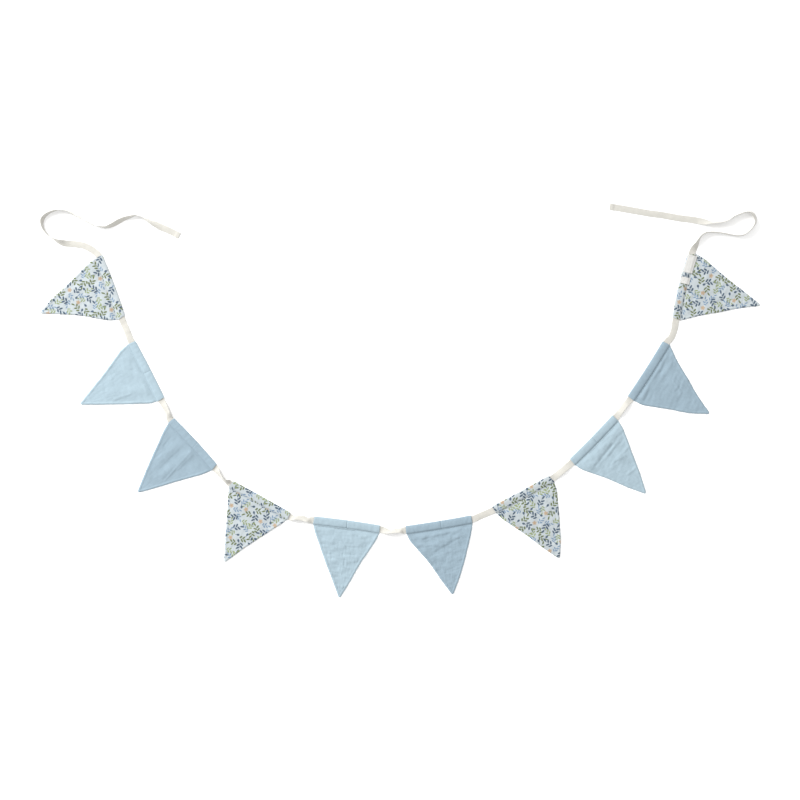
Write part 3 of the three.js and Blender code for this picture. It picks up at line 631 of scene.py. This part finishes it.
def seam_groove(flag, depth, from_start, width):
    """Depth of the groove where a flag's seam crosses its tunnel above the stitches: half a cosine."""
    seam_place, groove = TUNNEL_SEAMS.get(flag["name"], (0, 0))
    from_seam = np.abs(from_start - seam_place * width[:, None] / flag["width"])
    above_stitches = (depth < MM * STITCH_DEPTH)[:, None]
    section = 0.5 + 0.5 * np.cos(np.pi * np.minimum(from_seam / SEAM_REACH, 1))
    return above_stitches * MM * groove * section


def body_relief(flag, seed, own, garland, from_side):
    """Extra thickness of a body: seeded wrinkles, the photo's creases, and the puckered seams at its sides.

    own is each point's x and y on the flag, and garland the same on the garland.
    """
    wrinkles = SWELL_HEIGHT * soft_waves(*garland, seed, SWELL_WAVE)
    for height, wave, squeeze_x, squeeze_y, step in FINE_WRINKLES:
        wrinkles = wrinkles + height * soft_waves(squeeze_x * own[0], squeeze_y * own[1], seed + step, wave)
    seam = 1 - smooth_step(from_side, SEAM_WIDTH - SEAM_SOFT, SEAM_WIDTH + SEAM_SOFT)
    pucker = PUCKER_LEAST + PUCKER_MORE * soft_waves(*garland, seed + PUCKER_SEED, PUCKER_WAVE)
    return flag["crumple"] * wrinkles + crease_height(flag, *garland) + SEAM_EXTRA * seam * pucker


def make_flag(flag, seed):
    """A flag as one cloth: tunnel over the tape, fold round the head, and double body down to the tip.

    Rows run along the cloth from the tunnel's hem. Each row is drawn straight between the outline's two
    sides, bowed with the head. The body swells, folds and creases, and its rims roll down to the surface.
    """
    s = flag_rows(flag)
    depth, height, thick = tunnel_place(s)
    to_tip = s[-1] - s
    a, b = flag_sides(flag, depth, to_tip, seed)
    width = np.linalg.norm(b - a, axis=1)
    share = flag_columns(flag, width)
    from_side = np.minimum(share, 1 - share) * width[:, None]

    x = a[:, :1] + (b - a)[:, :1] * share
    y = a[:, 1:] + (b - a)[:, 1:] * share
    bowed = y - head_bow(flag, x) * (1 - smooth_step(y, *HEAD_BOW_FADE))
    garland = to_garland(flag, x, bowed)

    under_head = (s > HEAD_STOP)[:, None]
    body_share = under_head * smooth_step(depth, HEM_DEPTH, HEM_DEPTH + FOLD_START)[:, None]
    over_tape = smooth_step(depth, *TUNNEL_SWELL_RISE) * (1 - smooth_step(depth, *TUNNEL_SWELL_FALL))
    swell = soft_waves(TUNNEL_SWELL_SQUEEZE * x, y, seed + TUNNEL_SEED, TUNNEL_SWELL_WAVE)
    relief = body_share * body_relief(flag, seed, (x, y), garland, from_side)
    relief = relief + ~under_head * over_tape[:, None] * TUNNEL_SWELL_HEIGHT * swell
    relief = relief - ~under_head * seam_groove(flag, depth, x - a[:, :1], width)
    lift = body_share * fold_lift(flag, *garland)

    full = thick[:, None] + relief
    edge = round_rim(from_side, CLOTH_ROUND) * round_rim(np.minimum(s, to_tip), CLOTH_ROUND)[:, None]
    rolled_down = RIM_DROP * body_share * (1 - edge) * full / 2
    middle = np.stack([*garland, height[:, None] + lift + relief / 2 - rolled_down], axis=-1)
    print_x, print_y = MM * np.array(flag["print_at"])
    place = np.stack([x + print_x, s[:, None] + print_y + 0 * x], axis=-1)
    return double_skin("cloth_" + flag["name"], middle, grid_normals(middle), full * edge, place)


def curve_through(stops, at):
    """Centripetal Catmull-Rom curve through stops, carried on straight, at places counted in stops."""
    padded = np.concatenate([[2 * stops[0] - stops[1]], stops, [2 * stops[-1] - stops[-2]]])
    row = np.minimum(at.astype(int), len(stops) - 2)
    t = (at - row)[:, None]
    p0, p1, p2, p3 = (padded[row + step] for step in range(4))
    pairs = ((p0, p1), (p1, p2), (p2, p3))
    d0, d1, d2 = (np.sqrt(np.linalg.norm(after - before, axis=1, keepdims=True)) for before, after in pairs)
    start = ((p1 - p0) / d0 - (p2 - p0) / (d0 + d1) + (p2 - p1) / d1) * d1
    end = ((p2 - p1) / d1 - (p3 - p1) / (d1 + d2) + (p3 - p2) / d2) * d1
    rise = 2 * t ** 3 - 3 * t ** 2 + 1
    return rise * p1 + (1 - rise) * p2 + (t ** 3 - 2 * t ** 2 + t) * start + (t ** 3 - t ** 2) * end


def free_stops(rows):
    """Stops of the tape from a table of where it lies free: x, y, z, roll and curl."""
    middle_x, middle_y = GARLAND_MIDDLE
    return [(MM * x - middle_x, MM * y - middle_y, FREE_TAPE_LEVEL, roll, curl) for x, y, roll, curl in rows]


def tape_stops():
    """Every stop of the tape from the left tie's end to the right tie's: x, y, z, roll and curl."""
    stops = free_stops(LEFT_TIE)
    for flag in FLAGS:
        start = MM * min(0, flag["mouth_a"][0]) - MOUTH_PAST
        end = MM * max(flag["width"], flag["mouth_b"][0]) + MOUTH_PAST
        along = np.linspace(start, end, TUNNEL_TAPE_STOPS)
        x, y = to_garland(flag, along, CHANNEL_DEPTH - head_bow(flag, along))
        stops += [(*place, TUNNEL_TAPE_LEVEL, 0, 0) for place in zip(x, y)]
        stops += free_stops(GAPS.get(flag["name"], []))
    return np.array(stops + free_stops(RIGHT_TIE))


def make_tape():
    """The tape: a section carried along its curve, leant over by roll, its edges bent down by curl.

    Each section is then raised until it rests on the surface. Both ends are turned back as hems.
    """
    stops = tape_stops()
    chord = np.concatenate([[0], np.cumsum(np.linalg.norm(np.diff(stops[:, :2], axis=0), axis=1))])
    s = rim_spaced(chord[-1], TAPE_STEP)
    at = np.interp(s, chord, np.arange(len(stops)))
    line = curve_through(stops[:, :3], at)
    tangent = np.gradient(line, axis=0)
    tangent /= np.linalg.norm(tangent, axis=1, keepdims=True)
    across = np.cross((0, 0, 1), tangent)
    across /= np.linalg.norm(across, axis=1, keepdims=True)
    up = np.cross(tangent, across)
    roll = np.radians(np.interp(at, np.arange(len(stops)), stops[:, 3]))[:, None]
    curl = np.radians(np.maximum(np.interp(at, np.arange(len(stops)), stops[:, 4]), LEAST_CURL))[:, None]
    side = (across * np.cos(roll) + up * np.sin(roll))[:, None]
    face = (up * np.cos(roll) - across * np.sin(roll))[:, None]

    inner = np.linspace(TAPE_EDGE_STEPS[-1], TAPE_WIDTH - TAPE_EDGE_STEPS[-1], TAPE_COLUMNS + 1)[1:-1]
    width_place = np.concatenate([TAPE_EDGE_STEPS, inner, TAPE_WIDTH - TAPE_EDGE_STEPS[::-1]])
    offset = width_place - TAPE_WIDTH / 2
    radius = TAPE_WIDTH / curl
    angle = (offset / radius)[..., None]
    arc = radius[..., None] * np.cos(angle) - (radius * np.cos(curl / 2))[..., None]
    middle = line[:, None] + side * radius[..., None] * np.sin(angle) + face * arc
    normal = face * np.cos(angle) + side * np.sin(angle)

    to_end = np.minimum(s, s[-1] - s)
    hem = 1 - smooth_step(to_end, *TAPE_HEM_FADE)
    thick = (TAPE_THICK + (TAPE_HEM_THICK - TAPE_THICK) * hem)[:, None]
    from_edge = np.minimum(width_place, TAPE_WIDTH - width_place)
    full = thick * round_rim(from_edge, TAPE_THICK / 2) * round_rim(to_end, TAPE_HEM_THICK / 2)[:, None]
    lowest = (middle[..., 2] - 0.5 * full * np.abs(normal[..., 2])).min(axis=1, keepdims=True)
    middle[..., 2] -= np.minimum(lowest, 0)
    place = np.stack([width_place + 0 * s[:, None], s[:, None] + 0 * width_place], axis=-1)
    return double_skin("cotton_tape", middle, normal, full, place), s[-1]


def label_surface(x, depth):
    """Height of a label's middle over the tunnel at a depth below the head."""
    return smooth_at(LABEL_PATH[::-1, 0], LABEL_PATH[::-1, 1], depth) + 0 * x


def make_label(name, start, end):
    """A woven label: a sheet over the tunnel's section, its two ends turned under as thicker strips."""
    flag = FLAGS[-1]
    first, last = LABEL_PATH[[0, -1], 0]
    depth = first - rim_spaced(first - last, LABEL_DEPTH_STEP)
    along = MM * start + rim_spaced(MM * (end - start), LABEL_LENGTH_STEP)
    x, y = np.meshgrid(along, depth)
    from_end = np.minimum(x - along[0], along[-1] - x)
    hem = 1 - smooth_step(from_end, LABEL_HEM - LABEL_HEM_SOFT, LABEL_HEM)
    swell = LABEL_SWELL_HEIGHT * soft_waves(x, y, LABEL_SEED, LABEL_SWELL_WAVE)
    thick = LABEL_THICK + LABEL_HEM_EXTRA * hem
    height = label_surface(x, y) + swell + LABEL_HEM_EXTRA * hem / 2
    garland_x, garland_y = to_garland(flag, x, y - head_bow(flag, x))
    middle = np.stack([garland_x, garland_y, height], axis=-1)
    from_rim = np.minimum(y - depth.min(), depth.max() - y)
    edge = round_rim(from_end, LABEL_THICK) * round_rim(from_rim, LABEL_THICK)
    place = np.stack([x, y], axis=-1)
    return double_skin(name + "_cloth", middle, grid_normals(middle), thick * edge, place)


def make_stitches(name, centre, along):
    """A row of thread stitches as one mesh: each a short bent tube that dips in and out of the cloth.

    centre holds the stitches' middles and along their unit directions in the plane. The tube's line rises
    as a parabola over the cloth, and its radius falls to nothing at its ends as a half circle.
    """
    t = np.linspace(-1, 1, STITCH_RINGS + 2)
    turn = np.arange(STITCH_SIDES) * 2 * np.pi / STITCH_SIDES
    radius = THREAD_RADIUS * np.sqrt(1 - t ** 2)
    line = centre[:, None] + along[:, None] * (t * STITCH_LENGTH / 2)[:, None]
    line[..., 2] += THREAD_RADIUS * (STITCH_RISE * (1 - t ** 2) - STITCH_DIP)
    across = np.stack([-along[:, 1], along[:, 0], 0 * along[:, 0]], axis=-1)
    circle = across[:, None, None] * np.cos(turn)[:, None] + np.array((0, 0, 1)) * np.sin(turn)[:, None]
    ring = line[:, 1:-1, None] + radius[1:-1, None, None] * circle
    stitch_points = [ring.reshape(len(centre), -1, 3), line[:, :1], line[:, -1:]]
    points = np.concatenate(stitch_points, axis=1).reshape(-1, 3)

    each = STITCH_RINGS * STITCH_SIDES + 2
    number = np.arange(STITCH_RINGS * STITCH_SIDES).reshape(STITCH_RINGS, STITCH_SIDES)
    tube = squares(np.concatenate([number, number[:, :1]], axis=1))
    shift = (np.arange(len(centre)) * each)[:, None, None]
    faces = (tube + shift).reshape(-1, 4).tolist()
    faces += (end_fan(number[0], each - 2)[:, ::-1] + shift).reshape(-1, 3).tolist()
    faces += (end_fan(number[-1], each - 1) + shift).reshape(-1, 3).tolist()
    return make_piece(name, points, faces)


def end_fan(ring, end):
    """Triangles between a ring's neighbouring points and the tube's end point."""
    return np.stack([ring, np.roll(ring, -1), np.full(len(ring), end)], axis=-1)


def flag_stitches(flag):
    """Places of a flag's stitches and their direction along the head, in one or two rows."""
    first_depth = np.array([MM * STITCH_DEPTH])
    start = side_line(flag, "a", first_depth)[0, 0] + STITCH_INSET
    end = side_line(flag, "b", first_depth)[0, 0] - STITCH_INSET
    rows = [(first_depth[0], start, end)]
    if flag["name"] in SECOND_STITCHES:
        rows.append(MM * np.array(SECOND_STITCHES[flag["name"]]))
    centres = []
    for (depth, start, end), level in zip(rows, STITCH_LEVELS):
        x = np.arange(start, end, STITCH_PITCH)
        garland_x, garland_y = to_garland(flag, x, depth - head_bow(flag, x))
        centres.append(np.stack([garland_x, garland_y, level + 0 * x], axis=-1))
    centre = np.concatenate(centres)
    turn = np.radians(flag["turn"])
    return centre, np.tile((np.cos(turn), np.sin(turn), 0), (len(centre), 1))


def add(tree, kind, *values, **settings):
    """A shader node. Each value is a number or colour for the next socket, a socket to link, or None."""
    node = tree.nodes.new("ShaderNode" + kind)
    for key, value in settings.items():
        setattr(node, key, value)
    for socket, value in zip(node.inputs, values):
        if isinstance(value, bpy.types.NodeSocket):
            tree.links.new(value, socket)
        elif value is not None:
            socket.default_value = value
    return node


def calc(tree, operation, *values, clamp=False):
    """Result of one Math node."""
    return add(tree, "Math", *values, operation=operation, use_clamp=clamp).outputs[0]


def noise(tree, place, scale, detail, roughness=NOISE_ROUGHNESS):
    """Uneven values around a half."""
    return add(tree, "TexNoise", place, None, scale, detail, roughness).outputs[0]


def stretched(tree, value, wanted, given=(NOISE_LOW, NOISE_HIGH)):
    """A value's given range stretched to the wanted one."""
    return add(tree, "MapRange", value, *given, *wanted).outputs[0]


def squeezed(tree, place, squeeze, shift=None):
    """A place scaled along each axis, and shifted."""
    return add(tree, "Mapping", place, shift, None, squeeze).outputs[0]


def thread_wave(tree, value, pitch):
    """Sine of a value that comes round once a pitch."""
    return calc(tree, "SINE", calc(tree, "MULTIPLY", value, 2 * np.pi / pitch))


def finish(tree, shader, colour, tone, height, bump):
    """Gives the shader its colour times a tone, and a surface raised by a height."""
    level = add(tree, "CombineColor", tone, tone, tone).outputs[0]
    tree.links.new(blend(tree, 1.0, colour, level, "MULTIPLY"), shader.inputs["Base Color"])
    relief = add(tree, "Bump", *bump, None, height)
    tree.links.new(relief.outputs[0], shader.inputs["Normal"])


def blend(tree, factor, below, above, blend_type="MIX"):
    """Result of one colour Mix node."""
    node = tree.nodes.new("ShaderNodeMix")
    node.data_type = "RGBA"
    node.blend_type = blend_type
    for socket, value in ((node.inputs[0], factor), (node.inputs[6], below), (node.inputs[7], above)):
        if isinstance(value, bpy.types.NodeSocket):
            tree.links.new(value, socket)
        else:
            socket.default_value = value
    return node.outputs[2]


def new_group(name, inputs, outputs):
    """An empty node group with its input and output nodes."""
    group = bpy.data.node_groups.new(name, "ShaderNodeTree")
    for label, kind in inputs:
        group.interface.new_socket(label, in_out="INPUT", socket_type="NodeSocket" + kind)
    for label, kind in outputs:
        group.interface.new_socket(label, in_out="OUTPUT", socket_type="NodeSocket" + kind)
    return group, group.nodes.new("NodeGroupInput").outputs, group.nodes.new("NodeGroupOutput").inputs


def sprig_group(name, half_length, pitch, leaf_long, leaf_wide, bend):
    """Mask of one leaf sprig from a place in millimetres, its stem along x.

    The stem is bent by a parabola. Leaves stand in turn on both of its sides, each an ellipse that leans
    forward from its own foot on the stem, and one more closes the tip.
    """
    tree, given, result = new_group(name, [("Place", "Vector")], [("Mask", "Float")])
    x, y, _ = add(tree, "SeparateXYZ", given[0]).outputs
    y = calc(tree, "MULTIPLY_ADD", calc(tree, "MULTIPLY", x, x), -bend, y)
    out = calc(tree, "ABSOLUTE", y)
    shifted = calc(tree, "MULTIPLY_ADD", calc(tree, "LESS_THAN", y, 0.0), pitch / 2, x)
    cos, sin = float(np.cos(LEAF_LEAN)), float(np.sin(LEAF_LEAN))
    along_leaf = calc(tree, "MULTIPLY_ADD", shifted, cos, calc(tree, "MULTIPLY", out, sin))
    across_leaf = calc(tree, "MULTIPLY_ADD", shifted, -sin, calc(tree, "MULTIPLY", out, cos))
    near_stem = calc(tree, "MULTIPLY_ADD", out, -INK_EDGE, STEM_EDGE, clamp=True)
    on_stem = calc(tree, "LESS_THAN", calc(tree, "ABSOLUTE", x), half_length + STEM_PAST)
    mask = calc(tree, "MULTIPLY", near_stem, on_stem)
    end = ellipse(tree, calc(tree, "SUBTRACT", x, half_length + leaf_long), y, leaf_long, leaf_wide)
    mask = calc(tree, "MAXIMUM", mask, end)
    for foot in np.arange(-half_length, half_length, pitch).tolist():
        from_middle = calc(tree, "SUBTRACT", along_leaf, foot * cos + leaf_long + LEAF_OFF)
        from_line = calc(tree, "ADD", across_leaf, foot * sin)
        mask = calc(tree, "MAXIMUM", mask, ellipse(tree, from_middle, from_line, leaf_long, leaf_wide))
    tree.links.new(mask, result[0])
    return tree


def ellipse(tree, x, y, half_long, half_wide):
    """Mask that is 1 inside an ellipse and falls to 0 over a hair's breadth at its edge."""
    far_x = calc(tree, "DIVIDE", x, half_long)
    far_y = calc(tree, "DIVIDE", y, half_wide)
    squared = calc(tree, "MULTIPLY_ADD", far_x, far_x, calc(tree, "MULTIPLY", far_y, far_y))
    return calc(tree, "MULTIPLY_ADD", squared, -INK_EDGE, INK_EDGE + 0.5, clamp=True)


def bud_group():
    """Mask of a bud: an ellipse on a short stem."""
    tree, given, result = new_group("bud", [("Place", "Vector")], [("Mask", "Float")])
    x, y, _ = add(tree, "SeparateXYZ", given[0]).outputs
    radius = BUD[0]
    body = ellipse(tree, x, y, radius * BUD_LENGTH, radius)
    cup = ellipse(tree, calc(tree, "ADD", x, radius * CUP_PLACE), y, radius * CUP_LENGTH, CUP_HALF_WIDTH)
    tree.links.new(calc(tree, "MAXIMUM", body, cup), result[0])
    return tree


def flower_group():
    """Masks of a flower and of its middle: the petals' edge swells as half waves of a cosine round it."""
    masks = [("Mask", "Float"), ("Middle", "Float")]
    tree, given, result = new_group("flower", [("Place", "Vector")], masks)
    x, y, _ = add(tree, "SeparateXYZ", given[0]).outputs
    radius = PEACH[0]
    from_middle = calc(tree, "SQRT", calc(tree, "MULTIPLY_ADD", x, x, calc(tree, "MULTIPLY", y, y)))
    turn = calc(tree, "MULTIPLY", calc(tree, "ARCTAN2", y, x), PETALS / 2)
    swell = calc(tree, "ABSOLUTE", calc(tree, "COSINE", turn))
    edge = calc(tree, "MULTIPLY_ADD", swell, radius * PETAL_DIP, radius * (1 - PETAL_DIP))
    for reach, socket in ((edge, result[0]), (FLOWER_MIDDLE, result[1])):
        inside = calc(tree, "SUBTRACT", reach, from_middle)
        tree.links.new(calc(tree, "MULTIPLY", inside, PETAL_EDGE, clamp=True), socket)
    return tree


def new_material(name, kind):
    """A material with its shader; what is the same all over is set on the shader's own sockets."""
    material = bpy.data.materials.new(name)
    material.use_nodes = True
    tree = material.node_tree
    shader = tree.nodes["Principled BSDF"]
    shader.inputs["Roughness"].default_value, shader.inputs["Sheen Weight"].default_value = SURFACES[kind]
    shader.inputs["Sheen Roughness"].default_value = SHEEN_ROUGHNESS
    shader.inputs["Specular IOR Level"].default_value = SPECULAR
    return material, tree, shader


def place_on_cloth(tree):
    """The piece's own UV map, which holds places on the flat cloth, in millimetres."""
    metres = add(tree, "UVMap", uv_map="cloth").outputs[0]
    return add(tree, "VectorMath", metres, (1 / MM, 1 / MM, 1 / MM), operation="MULTIPLY").outputs[0]


def woven_look(tree, shader, colour, slub):
    """Cotton weave: threads over and under as crossed sines, slubs both ways, and a slow drift of tone."""
    place = place_on_cloth(tree)
    x, y, _ = add(tree, "SeparateXYZ", place).outputs
    warp, weft = (thread_wave(tree, way, COTTON_THREAD) for way in (x, y))
    weave = calc(tree, "MULTIPLY_ADD", calc(tree, "MULTIPLY", warp, weft), 0.5, 0.5)
    slub_along = noise(tree, squeezed(tree, place, SLUB_ALONG), 1.0, 3.0)
    slub_across = noise(tree, squeezed(tree, place, SLUB_ACROSS, SLUB_SHIFT), 1.0, 3.0)
    uneven = calc(tree, "MULTIPLY", calc(tree, "ADD", slub_along, slub_across), 0.5)
    tone = stretched(tree, uneven, (1 - slub, 1 + slub))
    slow = stretched(tree, noise(tree, place, DRIFT_SCALE, 2.0, DRIFT_ROUGHNESS), DRIFT_TONES)
    fine = stretched(tree, weave, WEAVE_TONES, given=(0.0, 1.0))
    tone = calc(tree, "MULTIPLY", calc(tree, "MULTIPLY", tone, slow), fine)
    height = calc(tree, "MULTIPLY_ADD", uneven, SLUB_RISE, weave)
    finish(tree, shader, colour, tone, height, COTTON_BUMP)


def plain_cotton(name, colour):
    """Plain dyed cotton, matte, with a thin sheen."""
    material, tree, shader = new_material(name, "plain")
    woven_look(tree, shader, (*colour, 1.0), PLAIN_SLUB)
    return material


def printed_cotton():
    """Cotton printed with a repeat of leaf sprigs, buds and small flowers on a pale ground.

    Each motif's place is the cloth's, less the motif's own, wrapped into one repeat and turned. A group
    gives its mask, and the motifs lie over each other in the table's order.
    """
    material, tree, shader = new_material("leaf_print_cotton", "print")
    place = place_on_cloth(tree)
    groups = {kind: sprig_group(kind, *row[:-1]) for kind, row in SPRIGS.items()}
    groups.update(bud=bud_group(), peach=flower_group())
    inks = {kind: row[-1] for kind, row in (*SPRIGS.items(), ("bud", BUD), ("peach", PEACH))}
    cover = stretched(tree, noise(tree, place, WEAR_SCALE, 2.0), INK_LEFT, given=WEAR_RANGE)
    colour = (*PRINT_GROUND, 1.0)
    half = (REPEAT[0] / 2, REPEAT[1] / 2, 1.0)
    other_half = tuple(-side for side in half)
    for kind, x, y, turn in MOTIFS:
        shifted = add(tree, "VectorMath", place, (x, y, 0.0), operation="SUBTRACT").outputs[0]
        wrapped = add(tree, "VectorMath", shifted, half, other_half, operation="WRAP").outputs[0]
        turned = add(tree, "VectorRotate", wrapped, rotation_type="Z_AXIS")
        turned.inputs["Angle"].default_value = float(np.radians(turn))
        motif = tree.nodes.new("ShaderNodeGroup")
        motif.node_tree = groups[kind]
        tree.links.new(turned.outputs[0], motif.inputs[0])
        mask = calc(tree, "MULTIPLY", motif.outputs[0], cover)
        colour = blend(tree, mask, colour, (*inks[kind], 1.0))
        if kind == "peach":
            colour = blend(tree, motif.outputs[1], colour, (*PEACH_MIDDLE, 1.0))
    woven_look(tree, shader, colour, PRINT_SLUB)
    return material


def tape_cotton():
    """Cream cotton tape: a twill whose diagonal turns back at the middle, with threads along it."""
    material, tree, shader = new_material("tape_cotton", "tape")
    place = place_on_cloth(tree)
    x, y, _ = add(tree, "SeparateXYZ", place).outputs
    from_middle = calc(tree, "ABSOLUTE", calc(tree, "SUBTRACT", x, TAPE_WIDTH / MM / 2))
    twill = thread_wave(tree, calc(tree, "ADD", from_middle, y), TWILL_PITCH)
    height = calc(tree, "MULTIPLY_ADD", thread_wave(tree, x, TAPE_THREAD), TAPE_THREAD_RISE, twill)
    highest = 1 + TAPE_THREAD_RISE
    shade = stretched(tree, height, TWILL_TONES, given=(-highest, highest))
    drift = stretched(tree, noise(tree, place, TAPE_DRIFT_SCALE, 3.0), TAPE_DRIFT_TONES)
    finish(tree, shader, (*TAPE_COLOUR, 1.0), calc(tree, "MULTIPLY", shade, drift), height, TAPE_BUMP)
    return material


def label_weave():
    """Blank woven label: fine ribs along its length with a soft satin gloss."""
    material, tree, shader = new_material("label_weave", "label")
    place = place_on_cloth(tree)
    x, y, _ = add(tree, "SeparateXYZ", place).outputs
    floating = noise(tree, squeezed(tree, place, FLOAT_SQUEEZE), 1.0, 2.0)
    height = calc(tree, "MULTIPLY_ADD", floating, FLOAT_RISE, thread_wave(tree, y, RIB_PITCH))
    finish(tree, shader, (*LABEL_COLOUR, 1.0), stretched(tree, floating, FLOAT_TONES), height, LABEL_BUMP)
    return material


def sewing_thread(name, colour):
    """Twisted sewing thread, its tone uneven along the row."""
    material, tree, shader = new_material(name, "thread")
    uneven = noise(tree, add(tree, "TexCoord").outputs["Object"], SEWING_SCALE, 2.0)
    finish(tree, shader, (*colour, 1.0), stretched(tree, uneven, SEWING_TONES), uneven, SEWING_BUMP)
    return material


def dress(piece, material, slot, *nodes):
    """Sets a piece's material and its one body, and hides the solids it stands for; slot is not used."""
    piece.data.materials.append(material)
    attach(piece, "root")
    if nodes:
        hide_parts(*nodes)


def make_floor():
    """Plain pale floor just under the cloth."""
    half = FLOOR_SIZE / 2
    corners = np.array([(-half, -half, 0), (half, -half, 0), (half, half, 0), (-half, half, 0)])
    floor = make_piece("floor", corners - (0, 0, FLOOR_DROP), [(0, 1, 2, 3)])
    material, _, shader = new_material("pale_floor", "floor")
    shader.inputs["Base Color"].default_value = (*FLOOR_COLOUR, 1.0)
    floor.data.materials.append(material)


def light_scene():
    """A white surround for even fill, and one large soft lamp at the upper left."""
    world = bpy.data.worlds.new("surround")
    world.use_nodes = True
    surround = world.node_tree.nodes["Background"]
    surround.inputs["Color"].default_value = (1.0, 1.0, 1.0, 1.0)
    surround.inputs["Strength"].default_value = SKY_STRENGTH
    bpy.context.scene.world = world
    key = bpy.data.lights.new("key", "AREA")
    key.shape = "DISK"
    key.energy = KEY_POWER
    key.size = KEY_SIZE
    lamp = bpy.data.objects.new("key", key)
    lamp.location = KEY_PLACE
    lamp.rotation_euler = Vector(KEY_PLACE).to_track_quat("Z", "Y").to_euler()
    bpy.context.scene.collection.objects.link(lamp)
    bpy.context.scene.view_settings.view_transform = "Standard"


def place_camera():
    """Straight down on the middle of the photograph, its frame VIEW_WIDTH wide at the surface."""
    data = bpy.data.cameras.new("camera")
    data.sensor_width = SENSOR_WIDTH
    data.lens = SENSOR_WIDTH * CAMERA_HEIGHT / VIEW_WIDTH
    camera = bpy.data.objects.new("camera", data)
    camera.location = (*-GARLAND_MIDDLE, CAMERA_HEIGHT)
    bpy.context.scene.collection.objects.link(camera)
    bpy.context.scene.camera = camera


place_camera()
light_scene()
make_floor()

cloths = {name: plain_cotton(name + "_cotton", colour) for name, colour in PLAIN_CLOTHS.items()}
cloths["leaf_print"] = printed_cotton()

tape, tape_length = make_tape()
dress(tape, tape_cotton(), "tape_cream", "tape")

for number, flag in enumerate(FLAGS):
    cloth = make_flag(flag, seed=FIRST_SEED + number)
    dress(cloth, cloths[flag["cloth"]], flag["cloth"], flag["name"])
    stitches = make_stitches("stitches_" + flag["name"], *flag_stitches(flag))
    # Thread is its cloth's colour times the flag's shade: partly its own darker tone, partly painted shade
    # of the groove
    thread = flag["shade"] * np.array(PLAIN_CLOTHS.get(flag["cloth"], PRINT_GROUND))
    dress(stitches, sewing_thread("thread_" + flag["name"], tuple(thread)), flag["cloth"])

label_material = label_weave()
for name, (start, end) in LABELS.items():
    label = make_label(name, start, end)
    dress(label, label_material, "label_white", name)
